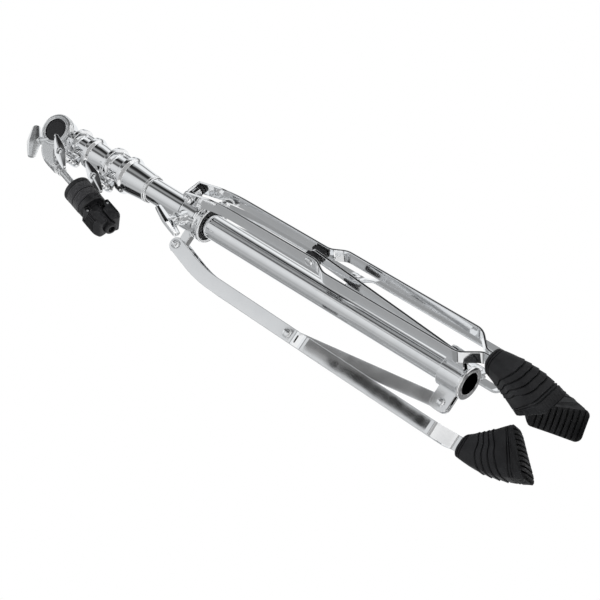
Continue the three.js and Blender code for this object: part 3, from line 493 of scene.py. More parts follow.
def collar():
    inner, mouth = 17.15, 18.7
    wall = turned([
        (mouth, 377.6, 0.4), (19.6, 376, 0.8), (21.6, 376, 0.9), (22.4, 377.6, 0.9), (22.4, 380.6, 1),
        (21, 382.4, 0.6), (21, 384, 0.6), (21.9, 385.6, 1), (21.2, 388.5, 1.5), (20.4, 399, 1.5),
        (20.4, 409.4, 0.8), (19, 411, 0.8), (inner, 411, 0.3), (inner, 384, 0), (mouth, 384, 0.3),
    ], 96)
    parts = []
    bores = []
    lug_half = 5.6
    bottom, top, end = HINGE_LEVEL - lug_half, HINGE_LEVEL + lug_half, HINGE_RADIUS + lug_half
    outline = soften([(18.6, bottom, 0), (end, bottom, 5.4), (end, top, 5.4), (18.6, top, 0)], steps=8)
    for azimuth in LEG_AZIMUTHS.values():
        lug = moved(plate(outline, -4.4, 4.4, 0.8), UPRIGHT)
        parts.append(moved(lug, turn(azimuth, "Z")))
        bore = moved(cylinder(4.6, -7, 7, 32), ALONG_Y)
        bores.append(moved(bore, turn(azimuth, "Z") @ shift(HINGE_RADIUS, 0, HINGE_LEVEL)))
    boss = turned([(0, 18, 0), (9, 18, 0), (8.2, 22, 1.5), (7.4, 26, 1), (7.4, 33, 1), (0, 33, 0)], 48)
    parts.append(moved(boss, IN_BOSS))
    bores.append(moved(cylinder(3.7, 5, 36, 32), IN_BOSS))
    return combine(combine(wall, parts), bores, "DIFFERENCE")


dress("leg_collar_cast", collar(), "leg_collar")
dress("leg_collar_insert_moulded", turned([
    (14.55, 378.7, 0.4), (18.2, 378.7, 0.6), (18.2, 383.7, 0.4), (16.85, 383.7, 0.2), (16.85, 413.3, 0.5),
    (14.55, 413.3, 0.5),
]), "leg_collar_insert")


def paddle(length, low, high, thickness, tip_height, tip_thickness):
    """A thick cast wing along X between two levels, eight-sided in section and blunt at its ends."""
    middle, half_height, half_length = (low + high) / 2, (high - low) / 2, length / 2
    half_run = [(1, 0.35), (0.985, 0.8), (0.94, 1), (0.62, 1), (0.3, 1)]
    run = [*[(-place, close) for place, close in half_run], (0, 1), *reversed(half_run)]
    rings = []
    for place, close in run:
        away = abs(place)
        tall = half_height * (1 + (tip_height - 1) * away ** 1.3) * close
        thick = thickness / 2 * (1 + (tip_thickness - 1) * away) * close
        face, ridge = tall * 0.42, thick * 0.5
        section = soften([
            (thick, -face, 0.5), (thick, face, 0.5), (ridge, tall, 0.7), (-ridge, tall, 0.7),
            (-thick, face, 0.5), (-thick, -face, 0.5), (-ridge, -tall, 0.7), (ridge, -tall, 0.7),
        ])
        rings.append([Vector((place * half_length, p.x, middle + p.y)) for p in section])
    return skin(rings)


def wing_bolt(stem, stem_bottom, neck, neck_bottom, neck_top, wing, top):
    """A cast T bolt about Z with its wing at the top."""
    hub = turned([
        (0, neck_bottom, 0), (neck, neck_bottom, 0.5), (neck, neck_top - 0.6, 0.8), (neck * 0.7, top, 1),
        (0, top, 0),
    ], 48)
    stem_top = neck_bottom + 1
    rod = turned([(0, stem_bottom, 0), (stem, stem_bottom, 0.6), (stem, stem_top, 0), (0, stem_top, 0)], 32)
    return combine(wing, [hub, rod])


dress(
    "collar_wing_bolt_cast",
    wing_bolt(3.4, 17.45, 5, 33.3, 39.3, paddle(41, 38.4, 53.2, 7.4, 0.62, 0.8), 44),
    "collar_wing_bolt",
    STAND @ IN_BOSS @ turn(math.radians(-27), "Z"),
)


# Legs: two bent strips with their rivets, spacers, brace and rubber foot
STRIP_HALF, STRIP_THICKNESS = 8.3, 2.6
PIVOT_RADIUS, PIVOT_LEVEL = 56.4, 210
AT_HINGE = shift(HINGE_RADIUS, 0, HINGE_LEVEL)
AT_PIVOT = shift(PIVOT_RADIUS, 0, PIVOT_LEVEL)
# Half distances between a leg's two strips at its hinge, below its pivot and in its foot
NARROW, WIDE, NECK = 9.2, 18.6, 1.2


def strip_section(half, edge):
    """Across and outward places of a strip's rounded section."""
    thick = STRIP_THICKNESS
    return soften([(-half, 0, edge), (half, 0, edge), (half, thick, edge), (-half, thick, edge)])


def leg_plate(side):
    """One bent strip with a round upper end. Side 1 is the left one and -1 its mirror image."""
    edge, end_steps = 0.7, 13
    path = soften([
        (39, NARROW, 393.5, 0), (53.4, NARROW, 345, 22), (56.6, NARROW, 199, 5), (56.9, WIDE, 182, 5),
        (60.2, WIDE, -2, 6), (58.8, NECK, -22, 5), (58.8, NECK, -54, 0),
    ], closed=False, steps=6)
    top = (path[0] - path[1]).normalized()
    rings = []
    for number, place in enumerate(path):
        before, after = path[max(number - 1, 0)], path[min(number + 1, len(path) - 1)]
        along = (before - after).normalized()
        outward = (Vector((0, 1, 0)) - along * along.y).normalized()
        across = outward.cross(along)
        if number == 0:
            for step in range(1, end_steps):
                angle = step / end_steps * math.pi / 2
                half = STRIP_HALF * math.sin(angle)
                centre = place + top * STRIP_HALF * math.cos(angle)
                section = strip_section(half, min(edge, half * 0.4))
                rings.append([centre + across * p.x + outward * p.y for p in section])
        section = strip_section(STRIP_HALF, edge)
        rings.append([place + across * p.x + outward * p.y for p in section])
    slot = block((51.9, 5, 193.9), (61.5, 30, 196.7), 0.6, 0.6)
    bores = [moved(cylinder(RIVET_HOLE, 5, 16, 24), place @ ALONG_Y) for place in (AT_HINGE, AT_PIVOT)]
    cut = combine(skin(rings), [slot, *bores], "DIFFERENCE")
    return cut if side > 0 else moved(cut, mirrored(-1))


def through_rivet(grip, shank, head, height):
    """A rivet along Y with a pressed head at each end."""
    rim = 0.5
    upper = [(shank, grip - 0.2, 0.1), (head - 0.1, grip, 0.2), (head, grip + rim, 0.3)]
    upper += domed(head, height, grip, rim, 8)
    lower = [(radius, -level, fillet) for radius, level, fillet in reversed(upper)]
    return moved(turned([*lower, *upper], 40), ALONG_Y)


def hinge_bush():
    inner, outer, neck, flange = 4.7, 8.9, 4.3, 6
    return moved(turned([
        (RIVET_HOLE, -outer, 0.2), (flange, -outer, 0.5), (flange, -inner, 0.3), (neck, -inner, 0.2),
        (neck, inner, 0.2), (flange, inner, 0.3), (flange, outer, 0.5), (RIVET_HOLE, outer, 0.2),
    ], 40), ALONG_Y)


def spacer():
    body = block((-5, 1.8, -8), (5, 8.9, 8), 0.7, 1)
    lips = [block((-5.5, 2.6, level), (5.5, 8.1, level + 1.6), 0.3, 0.5) for level in (-8.4, 6.8)]
    bore = moved(cylinder(RIVET_HOLE, 0, 12, 24), ALONG_Y)
    return combine(combine(body, lips), [bore], "DIFFERENCE")


def brace():
    half = 7.5
    run, rise = PIVOT_RADIUS - BRACE_FOOT_RADIUS, PIVOT_LEVEL - BRACE_FOOT_LEVEL
    length = math.hypot(run, rise)
    outline = [*arc(0, length, half, 0, 180, 20), *arc(0, 0, half, 180, 360, 20)]
    strip = plate(outline, -1.5, 1.5, 0.6)
    bore = cylinder(RIVET_HOLE, -4, 4, 32)
    cut = combine(strip, [moved(bore, shift(0, length, 0))], "DIFFERENCE")
    foot = shift(BRACE_FOOT_RADIUS, 0, BRACE_FOOT_LEVEL)
    return moved(cut, foot @ turn(math.atan2(run, rise), "Y") @ UPRIGHT)


def boot_outline(half_length, inner_half, outer_half, corner):
    """A four-sided outline with round corners, the same number of points on every call."""
    corners = [
        (half_length - corner, outer_half - corner, 0), (corner - half_length, inner_half - corner, 1),
        (corner - half_length, corner - inner_half, 2), (half_length - corner, corner - outer_half, 3),
    ]
    arcs = []
    for x, y, quarter in corners:
        arcs.append([Vector(p) for p in arc(x, y, corner, quarter * 90, quarter * 90 + 90, 9)])
    points = []
    side_steps = 15
    for row, following in zip(arcs, arcs[1:] + arcs[:1]):
        points.extend(row)
        points.extend(row[-1].lerp(following[0], step / side_steps) for step in range(1, side_steps))
    return points


def pulse(value, centre, width):
    """1 at the centre, falling smoothly to 0 at the width."""
    away = abs(value - centre) / width
    return 0 if away >= 1 else 0.5 + 0.5 * math.cos(math.pi * away)


# Places from the boot's rim at 0 to its sole at 1
RIM_GROOVES, STEPS, LOW_GROOVES = (0.052, 0.09), (0.33, 0.43, 0.53, 0.63), (0.835, 0.872)
STEP_RUN = 0.085
RIBS_START, RIBS_END = 0.895, 0.985


def rubber_foot():
    """A boot that widens from a round-cornered rim to a ribbed sole, with grooves and overlapping steps."""
    rim, sole_middle = Vector((58, 0, -32)), Vector((32.5, 0, -93))
    half_length, sole_angle = 31.14, math.atan2(-46, 42)
    rim_outline = boot_outline(13, 13, 13, 10.4)
    sole_outline = boot_outline(half_length, 13.5, 19, 7)
    rings = []
    levels = 170
    for level in range(levels + 1):
        share = level / levels
        lean = sole_angle * share
        along = Vector((math.cos(lean), 0, math.sin(lean)))
        middle = rim.lerp(sole_middle, share)
        bulge = math.sin(math.pi * share)
        middle.x += 2.6 * bulge
        ring = []
        for start, end in zip(rim_outline, sole_outline):
            x, y = start.lerp(end, share)
            size = math.hypot(x, y)
            around = math.atan2(y, x)
            depth = 1.5 * (pulse(share, RIM_GROOVES[0], 0.012) + pulse(share, RIM_GROOVES[1], 0.012))
            depth -= 1.9 * bulge * (0.5 + 0.5 * math.cos(around))
            depth += 0.9 * max(0, 1 - share / 0.018) ** 2 + 1.6 * max(0, (share - 0.975) / 0.025) ** 2
            side = abs(math.sin(around))
            drift = 0.1 * math.cos(around) + 0.035 * side * math.cos(around * 3)
            for base in STEPS:
                place = base + drift
                depth += 1.5 * pulse(share, place + 0.004, 0.013)
                if place - STEP_RUN < share < place:
                    depth -= 1.3 * ((share - place + STEP_RUN) / STEP_RUN) ** 1.5 * (1 - side * 0.45)
            depth += 1.4 * (pulse(share, LOW_GROOVES[0], 0.013) + pulse(share, LOW_GROOVES[1], 0.013))
            if RIBS_START < share < RIBS_END:
                fade = min(1, (share - RIBS_START) / 0.01, (RIBS_END - share) / 0.01)
                depth += 0.9 * fade * (0.5 + 0.5 * math.cos(y * 1.7 + x * 1.7)) ** 0.6
            scale = (size - depth) / size
            ring.append(middle + along * x * scale + Vector((0, y * scale, 0)))
        rings.append(ring)
    rim_of_sole = rings[-1]
    outward = Vector((math.sin(sole_angle), 0, -math.cos(sole_angle)))
    dome_steps, dome_depth = 12, 3.2
    for step in range(1, dome_steps):
        lean = step / dome_steps * math.pi / 2
        crown = sole_middle + outward * dome_depth * math.sin(lean)
        rings.append([crown + (point - sole_middle) * math.cos(lean) for point in rim_of_sole])
    body = skin(rings)
    under_sole = Matrix.Translation(sole_middle) @ turn(-sole_angle, "Y") @ Matrix.Scale(-1, 4, (0, 0, 1))
    cutters = [
        moved(block((x - 1.1, -30, -0.9), (x + 1.1, 30, 8), 0.3), under_sole) for x in range(-24, 25, 6)
    ]
    pocket = block((50.1, -4.2, -57), (67.5, 4.2, -19), 0.5)
    return combine(body, [pocket, *cutters], "DIFFERENCE")


leg_shapes = {
    "left_plate": ("left_plate_bent", leg_plate(1)),
    "right_plate": ("right_plate_bent", leg_plate(-1)),
    "top_bridge": ("top_bridge_folded", moved(
        block((-4.2, -8.9, 6.8), (4.2, 8.9, 8.6), 0.5), AT_HINGE @ turn(math.radians(44), "Y"),
    )),
    "hinge_rivet": ("hinge_rivet_headed", moved(through_rivet(12.1, RIVET_RADIUS, 5.3, 4.8), AT_HINGE)),
    "hinge_bush": ("hinge_bush_moulded", moved(hinge_bush(), AT_HINGE)),
    "pivot_rivet": ("pivot_rivet_headed", moved(through_rivet(12.1, RIVET_RADIUS, 5.4, 2.8), AT_PIVOT)),
    "left_spacer": ("left_spacer_moulded", moved(spacer(), AT_PIVOT)),
    "right_spacer": ("right_spacer_moulded", moved(spacer(), AT_PIVOT @ mirrored(-1))),
    "brace": ("brace_strip", brace()),
    "rubber_foot": ("rubber_boot", rubber_foot()),
}
for letter, azimuth in LEG_AZIMUTHS.items():
    for node, (name, shape) in leg_shapes.items():
        dress(f"leg_{letter}_{name}", shape, f"leg_{letter}_{node}", STAND @ turn(azimuth, "Z"))


# Height adjusters
def adjuster(tube, tube_top, inner_tube, sleeve_bottom, sleeve, low, high, flange, bolt_x, bolt_level):
    """A clamp body from low to high over a tapered sleeve, slotted at its ears and open for both tubes."""
    bore = inner_tube + 2.55
    clamp = bore + 2.6
    ear, ear_length = 6.6, 5.5
    inner = tube + 0.3
    wall = turned([
        (inner, sleeve_bottom, 0.3), (tube + 1.7, sleeve_bottom, 0.5), (tube + 2.3, sleeve_bottom + 1, 0.4),
        (tube + 2.3, sleeve_bottom + 1.8, 0.3), (tube + 1.5, sleeve_bottom + 2.2, 0.2),
        (tube + 1.5, sleeve_bottom + 3, 0.2), (tube + 2.4, sleeve_bottom + 3.4, 0.5), (sleeve, low - 10, 4),
        (sleeve + 0.2, low - 4.4, 1.5), (flange - 0.6, low - 1.6, 1), (flange, low - 0.4, 0.8),
        (flange, low + 4.2, 1.2), (clamp, low + 4.6, 1), (clamp, high - 6.2, 1), (flange, high - 5, 1),
        (flange, high, 1.3), (bore, high, 0.4), (bore, tube_top + 0.3, 0.2), (inner, tube_top + 0.3, 0.3),
    ], 112, 4)
    bottom, top = bolt_level - 7, min(bolt_level + 7, high)
    root, tip = -bore - 0.4, -bolt_x - ear_length
    outline = soften([(tip, bottom, 5), (root, bottom, 0), (root, top, 0), (tip, top, 5)], steps=8)
    ears = moved(plate(outline, -ear, ear, 0.9), UPRIGHT)
    saddle = block((bore + 0.3, -5, low + 1.8), (clamp + 2.6, 5, high - 1.8), 0.8, 1.2)
    slot = block((-bolt_x - 8, -2.4, low + 5.6), (-bore + 2, 2.4, high + 2), 0.2)
    bolt_way = shift(-bolt_x, 0, bolt_level) @ ALONG_Y
    hole = moved(cylinder(RIVET_HOLE, -10, 10, 32), bolt_way)
    faces = [
        moved(cylinder(7.2, start, end, 40), bolt_way)
        for start, end in ((-flange - 2, -ear), (ear, flange + 2))
    ]
    return combine(combine(wall, [ears, saddle]), [slot, hole, *faces], "DIFFERENCE")


def clamp_bolt():
    """A cup-headed bolt along Y with a dimpled head."""
    return moved(turned([
        (0, -26.6, 0), (2.6, -26.6, 0.4), (3, -26, 0.2), (3, 6.9, 0), (5.4, 6.9, 0.5), (5.4, 10.9, 1.4),
        (2.4, 10.9, 0.3), (2.2, 9.6, 0.2), (0, 9.6, 0),
    ], 48), ALONG_Y)


def wing_nut():
    """A cast wing on a ribbed hub, drawn about the bolt with its wing towards -Y."""
    rings = []
    half_span, half_height, crown = 23.5, 7.2, 30.9
    for place in (-1, -0.97, -0.88, -0.6, -0.3, 0, 0.3, 0.6, 0.88, 0.97, 1):
        away = abs(place)
        half = half_height * (1 - 0.7 * away ** 1.25) * (0.35 if away == 1 else 1)
        lift = crown - 1.5 * away ** 2
        section = soften([
            (-half, 27.2, 0.4), (-half * 0.5, 26.2, 0.4), (half * 0.5, 26.2, 0.4), (half, 27.2, 0.4),
            (half, 28, 0.4), (half * 0.16, lift, 0.4), (-half * 0.16, lift, 0.4), (-half, 28, 0.4),
        ])
        rings.append([Vector((place * half_span, -p.y, p.x)) for p in section])
    wing = skin(rings)
    hub = moved(turned([
        (0, 6.9, 0), (6.6, 6.9, 0.5), (6.6, 10, 0.8), (5.9, 12, 0.8), (5.9, 20, 1), (6.6, 23, 1.5),
        (6.6, 28, 0), (0, 28, 0),
    ], 48), UPRIGHT)
    socket = moved(turned([(0, 28.6, 0), (3.9, 28.6, 0.2), (4.3, 32, 0), (0, 32, 0)], 32), UPRIGHT)
    hole = moved(cylinder(RIVET_HOLE, 5, 32, 32), UPRIGHT)
    return combine(combine(wing, [hub]), [socket, hole], "DIFFERENCE")


def bush(inner_tube, bottom, top):
    inner = inner_tube + 0.25
    outer = inner + 2
    return turned([(inner, bottom, 0.3), (outer, bottom, 0.3), (outer, top, 0.4), (inner, top, 0.4)])


adjusters = {
    "lower": {
        "tube": BASE_RADIUS, "tube_top": BASE_TOP, "inner_tube": MIDDLE_RADIUS, "sleeve_bottom": 467,
        "sleeve": 19.05, "low": 505, "high": 534, "flange": 22.6, "bolt_x": 24, "bolt_level": 527.5,
    },
    "upper": {
        "tube": MIDDLE_RADIUS, "tube_top": MIDDLE_TOP, "inner_tube": UPPER_RADIUS, "sleeve_bottom": 534.6,
        "sleeve": 15.9, "low": 564, "high": 592, "flange": 19.5, "bolt_x": 20, "bolt_level": 587,
    },
}
wing_nut_tilts = {"lower": 26, "upper": 37}
for name, sizes in adjusters.items():
    at_bolt = STAND @ shift(-sizes["bolt_x"], 0, sizes["bolt_level"])
    lining = bush(sizes["inner_tube"], sizes["tube_top"] + 0.6, sizes["high"] - 0.3)
    dress(f"{name}_adjuster_cast", adjuster(**sizes), f"{name}_adjuster_body")
    dress(f"{name}_adjuster_bush_moulded", lining, f"{name}_adjuster_bush")
    dress(f"{name}_adjuster_bolt_turned", clamp_bolt(), f"{name}_adjuster_bolt", at_bolt)
    dress(
        f"{name}_adjuster_wing_nut_cast", wing_nut(), f"{name}_adjuster_wing_nut",
        at_bolt @ turn(math.radians(90 + wing_nut_tilts[name]), "Y"),
    )


# Tilter, drawn about the hub's centre
TILTER = STAND @ shift(0, 0, 622)
ARM = TILTER @ turn(math.radians(13.9), "Y")
IN_BARREL = shift(-28, -2, 0)
BESIDE_RING = shift(-7, -8, -7.3) @ turn(math.radians(-47), "Y")


def hub():
    """The disc behind the ring, on a neck whose plug sits in the upper tube."""
    disc = moved(turned([
        (0, -2.7, 0), (18.6, -2.7, 0.6), (18.6, 8.5, 1), (17.6, 11, 1.5), (15, 12, 1.2), (11, 12, 0.6),
        (10.2, 11.2, 0.5), (0, 11.2, 0),
    ], 96), ALONG_Y)
    outer = 11.4
    neck = turned([
        (0, -29, 0), (outer, -29, 0.8), (outer, -26, 0.8), (10.6, -24.8, 0.6), (outer, -20.8, 0.8),
        (0, -20.8, 0),
    ], 96)
    riser = combine(
        turned([(0, -21.1, 0), (outer, -21.1, 0), (outer, -2, 2), (0, -2, 0)], 96),
        [block((-20, -2.7, -24), (20, 20, 2), 0.2)],
        "INTERSECT",
    )
    plug = turned([(0, -51, 0), (6.25, -51, 0.8), (6.25, -28.7, 0), (0, -28.7, 0)], 48)
    return combine(neck, [riser, disc, plug])


def arm():
    """The ring round the badge with its stepped bezel, the rod's barrel and the web between them."""
    well, well_floor = 13.5, -9.1
    disc = moved(turned([
        (0, well_floor, 0), (well, well_floor, 0), (well, -12.4, 0.4), (14, -13, 0.4), (14.9, -13, 0.4),
        (15.3, -12.3, 0.3), (15.9, -12.3, 0.3), (16.3, -12.9, 0.4), (18, -12.7, 0.8), (19.5, -11.3, 1),
        (19.5, -9.8, 0.4), (20, -9.4, 0.3), (20, -6.9, 0.4), (19.3, -6.5, 0.2), (19.3, -5.7, 0.2),
        (20, -5.3, 0.4), (20, -3, 0.6), (0, -3, 0),
    ], 112), ALONG_Y)
    barrel = moved(turned([
        (0, -36.5, 0), (6.8, -36.5, 0.6), (7.6, -35.3, 0.8), (8, -20, 4), (7.4, -12.5, 2), (5.4, -9.4, 1.6),
        (0, -9, 0),
    ], 72, 5), IN_BARREL)
    outline = soften([
        (12, -10, 6), (12, 10, 6), (2, 17.5, 7), (-10, 15.5, 6), (-22, 3.2, 8), (-29.6, -4.2, 6),
        (-34, -14, 8), (-33.6, -32, 6), (-26, -34, 5), (-15.5, -17, 8), (-2, -19, 8),
    ], steps=6)
    web = moved(plate(outline, 3.2, 11.4, 2.8, 6), UPRIGHT)
    boss = moved(turned([
        (0, 8, 0), (5.2, 8, 0), (4.8, 17, 1), (4.6, 19.6, 0.5), (4.1, 20, 0.2), (0, 20, 0),
    ], 48), BESIDE_RING)
    recess = moved(cylinder(well, -14, well_floor, 112), ALONG_Y)
    bore = moved(cylinder(ROD_HOLE, -40, -12.7, 40), IN_BARREL)
    bolt_hole = moved(cylinder(RIVET_HOLE, 14.3, 22, 40), BESIDE_RING)
    return combine(combine(disc, [barrel, web, boss]), [recess, bore, bolt_hole], "DIFFERENCE")


dress("tilter_hub_cast", hub(), "tilter_hub", TILTER)
dress("tilter_arm_cast", arm(), "tilter_arm", ARM, slot="satin_metal")
dress("badge_disc_bare", moved(turned([
    (0, -11.8, 0), (10.4, -11.8, 0.4), (10.9, -11.6, 0.2), (12.9, -11.6, 0.5), (13.2, -11.2, 0.2),
    (13.2, -9.4, 0.2), (0, -9.4, 0),
], 96), ALONG_Y), "badge_disc", ARM)
dress(
    "tilter_wing_bolt_cast",
    wing_bolt(3, 14.6, 4.6, 20.3, 22.9, paddle(41, 21.8, 38.6, 10.4, 0.5, 0.6), 27),
    "tilter_wing_bolt",
    ARM @ BESIDE_RING @ turn(math.radians(6), "Z"),
)


# Cymbal rod with its thread, seat, felts and quick-release nut
ON_ROD = ARM @ IN_BARREL


def cymbal_rod():
    """A rod with a round shoulder below the barrel and a thread, cut as rings, at its lower end."""
    profile = [(0, -138.5, 0), (2.9, -138.5, 0.3), (3.3, -137.5, 0)]
    pitch, level, thread_top, crest, root = 1.25, -137, -103.5, 3.95, 3.4
    while level < thread_top:
        points = ((crest, 0.3), (crest, 0.45), (root, 0.95))
        profile += [(radius, level + pitch * share, 0) for radius, share in points]
        level += pitch
    profile += [
        (ROD_RADIUS, -102.5, 0.3), (ROD_RADIUS, -43.5, 0.3), (5.6, -43.5, 0.6), (5.6, -40.3, 0.6),
        (ROD_RADIUS, -40.3, 0.3), (ROD_RADIUS, -13, 0.4), (0, -13, 0),
    ]
    return turned(profile, 40)


dress("cymbal_rod_threaded", cymbal_rod(), "cymbal_rod", ON_ROD, slot="satin_metal")
dress("rod_seat_moulded", turned([
    (ROD_HOLE, -72.5, 0.4), (9, -72.5, 0.8), (15.4, -72.8, 1), (17, -73.9, 0.8), (17, -77.7, 0.8),
    (15.6, -79, 0.6), (5.9, -79, 0.4), (5.9, -102.6, 0.4), (ROD_HOLE, -102.6, 0.3),
], 96), "rod_seat", ON_ROD)


def felt(top, seed):
    """A pressed felt ring with soft uneven rims."""
    radius, hole, bottom = 17, 6.2, top - 11.5
    points, faces = turned([
        (hole, bottom, 0.8), (10, bottom, 0.6), (14, bottom, 0.6), (radius, bottom, 2.4),
        (radius, top - 8, 1.5), (radius, top - 3.5, 1.5), (radius, top, 2.4), (14, top, 0.6), (10, top, 0.6),
        (hole, top, 0.8),
    ], 128, 5)
    fuzzy = []
    for point in points:
        flat = Vector((point.x, point.y, 0))
        rough = noise.noise(point * 0.55 + Vector((seed, 0, 0))) * 0.28 + noise.noise(point * 1.9) * 0.16
        out = flat.normalized() * min(rough - 0.25, 0) * (1 if flat.length > 8 else 0)
        fuzzy.append(point + out)
    return fuzzy, faces


dress("lower_felt_pressed", felt(-79.3, 3.1), "lower_felt", ON_ROD, FELT_CREASE)
dress("upper_felt_pressed", felt(-91.1, 8.7), "upper_felt", ON_ROD, FELT_CREASE)

NUT = ON_ROD @ shift(0, 0, -102.9) @ turn(math.radians(39), "Z")
PIN_X, PIN_Z, PIN_HOLE = 13.4, -14.5, 2.1
ON_PIN = shift(PIN_X, 0, PIN_Z) @ ALONG_Y


def nut_body():
    """A flanged tube with a tongue at each side for the wings' pins."""
    core = turned([
        (0, 0, 0), (15.6, 0, 0.6), (16.4, -0.8, 0.6), (16.4, -6.7, 0.8), (15.1, -8, 0.8), (7.6, -8.2, 0.8),
        (7.6, -44.7, 0.8), (6.3, -46, 0.6), (0, -46, 0),
    ], 96)
    parts = []
    bores = [cylinder(ROD_HOLE, -50, 2, 40)]
    tongue = 4.6
    for side in (0, math.pi):
        outline = [*arc(PIN_X, PIN_Z, tongue, -90, 90, 16), (6.3, PIN_Z + tongue), (6.3, PIN_Z - tongue)]
        parts.append(moved(plate(outline, -3, 3, 0.4), turn(side, "Z") @ UPRIGHT))
        bores.append(moved(cylinder(PIN_HOLE, -12, 12, 24), turn(side, "Z") @ ON_PIN))
    return combine(combine(core, parts), bores, "DIFFERENCE")


def nut_wing():
    """One spring-loaded wing with grip ribs on its outer face, slotted over the body's tongue."""
    knuckle = [(x, z, 0) for x, z in arc(PIN_X, PIN_Z, 5, 6, 174, 16)]
    outline = soften([
        (2.6, -40.5, 2.5), (12.6, -42.5, 3), (18.6, -33, 6), (18.6, PIN_Z, 0), *knuckle,
        (8.4, PIN_Z, 0), (8.4, -18.5, 1), (2.6, -20.5, 1.5),
    ], steps=5)
    wing = combine(
        moved(plate(outline, -10.4, 10.4, 1.4, 4), UPRIGHT),
        [turned([(0, -43.5, 0), (15, -43.5, 2), (19.2, -35, 4), (19.2, -8.6, 1), (0, -8.6, 0)], 96)],
        "INTERSECT",
    )
    dimples = [moved(cylinder(2.9, low, high, 32), ON_PIN) for low, high in ((-12, -8.9), (8.9, 12))]
    slot = block((0, -3.3, PIN_Z - 5.2), (20, 3.3, 2), 0.2)
    hole = moved(cylinder(PIN_HOLE, -12, 12, 24), ON_PIN)
    trim = cylinder(8.2, -50, 2, 64)
    root, width = 17.2, 1.1
    grooves = [
        turned([(root, level, 0), (22, level, 0), (22, level + width, 0), (root, level + width, 0)], 96)
        for level in (-33.6, -31.6, -29.6, -27.6, -25.6, -23.6, -21.6)
    ]
    return combine(wing, [slot, hole, trim, *dimples, *grooves], "DIFFERENCE")


dress("nut_body_moulded", nut_body(), "nut_body", NUT)
dress("nut_wing_inner_moulded", nut_wing(), "nut_wing_inner", NUT)
dress("nut_wing_outer_moulded", nut_wing(), "nut_wing_outer", NUT @ turn(math.pi, "Z"))
for name, side in (("outer", -1), ("inner", 1)):
    pin = turned([
        (0, -9.5, 0), (0.9, -9.5, 0.1), (1.8, -9.1, 0.2), (1.8, 9.1, 0.2), (0.9, 9.5, 0.1), (0, 9.5, 0),
    ], 24)
    dress(f"nut_pin_{name}_turned", pin, f"nut_pin_{name}", NUT @ shift(PIN_X * side, 0, PIN_Z) @ ALONG_Y)


# Floor, light and camera
def floor():
    """A pale floor under the feet. It is clear from underneath, where the photograph's view comes from."""
    bpy.ops.mesh.primitive_plane_add(size=14, location=(0, 0, 0))
    thing = bpy.context.object
    thing.name = "studio_floor"
    material, tree, shader = new_material("pale_floor")
    cloud = object_noise(tree, 3, 3, 0.5)
    tinted(tree, shader, cloud, (0.86, 0.86, 0.86), (0.89, 0.89, 0.89))
    shader.inputs["Roughness"].default_value = 0.7
    facing = tree.nodes.new("ShaderNodeNewGeometry")
    rays = tree.nodes.new("ShaderNodeLightPath")
    both = worked(tree, "MULTIPLY", facing.outputs["Backfacing"], rays.outputs["Is Camera Ray"])
    clear = tree.nodes.new("ShaderNodeBsdfTransparent")
    mix = tree.nodes.new("ShaderNodeMixShader")
    tree.links.new(both, mix.inputs[0])
    tree.links.new(shader.outputs[0], mix.inputs[1])
    tree.links.new(clear.outputs[0], mix.inputs[2])
    tree.links.new(mix.outputs[0], tree.nodes["Material Output"].inputs["Surface"])
    thing.data.materials.append(material)


def studio_world():
    """A white room: camera, glossy and clear rays see it white, and it lights dull surfaces softly."""
    world = bpy.data.worlds.new("white_room")
    bpy.context.scene.world = world
    world.use_nodes = True
    tree = world.node_tree
    rays = tree.nodes.new("ShaderNodeLightPath")
    seen = rays.outputs["Is Camera Ray"]
    for kind in ("Is Glossy Ray", "Is Transmission Ray"):
        seen = worked(tree, "MAXIMUM", seen, rays.outputs[kind])
    background = tree.nodes["Background"]
    tree.links.new(blended(tree, seen, (0.55, 0.55, 0.55), (1, 1, 1)), background.inputs["Color"])
    background.inputs["Strength"].default_value = 1


# The tent stands round the middle of the stand, in metres. Its cloth's levels go by direction in degrees
# from X, in a band round the stand, below that band and above it.
MIDDLE = Vector((0, 0, 0.4))
TENT_RADIUS = 3
TENT_MIDDLE = [
    (-180, 0.34), (-173, 0.38), (-164, 0.5), (-146, 0.47), (-138, 0.59), (-122, 0.71), (-107, 0.78),
    (-90, 0.74), (-84, 0.6), (-80, 0.12), (-68, 0.1), (-65, 0.33), (-52, 0.33), (-48, 0.12), (-40, 0.02),
    (-26, 0.02), (-20, 0.3), (-12, 0.45), (-6, 0.92), (20, 0.97), (24, 0.34), (37, 0.32), (41, 0.95),
    (125, 0.95), (130, 0.22), (141, 0.25), (146, 0.38), (155, 0.38), (160, 0.28), (172, 0.34),
]
TENT_LOWER = [
    (-180, 0.05), (-141, 0.05), (-138, 0.75), (-60, 0.8), (-57, 0.04), (-22, 0.04), (-19, 0.5), (18, 0.45),
    (21, 0.04), (62, 0.04), (66, 0.6), (120, 0.62), (123, 0.04), (152, 0.04), (156, 0.4),
]
TENT_UPPER = [
    (-180, 0.9), (-70, 0.92), (-66, 0.06), (-40, 0.06), (-36, 0.85), (30, 0.85), (34, 0.05), (70, 0.05),
    (74, 0.9), (130, 0.9), (134, 0.08), (160, 0.08), (164, 0.9),
]


def around(tree, share, stops):
    """A ramp of greys round the compass, with a touch of blue."""
    ramp = tree.nodes.new("ShaderNodeValToRGB")
    elements = ramp.color_ramp.elements
    elements.remove(elements[0])
    for number, (degrees, level) in enumerate([*stops, (180, stops[0][1])]):
        place = (degrees + 180) / 360
        element = elements[0] if number == 0 else elements.new(place)
        element.position = place
        element.color = (level * 0.985, level, level * 1.015, 1)
    tree.links.new(share, ramp.inputs["Fac"])
    return ramp.outputs["Color"]


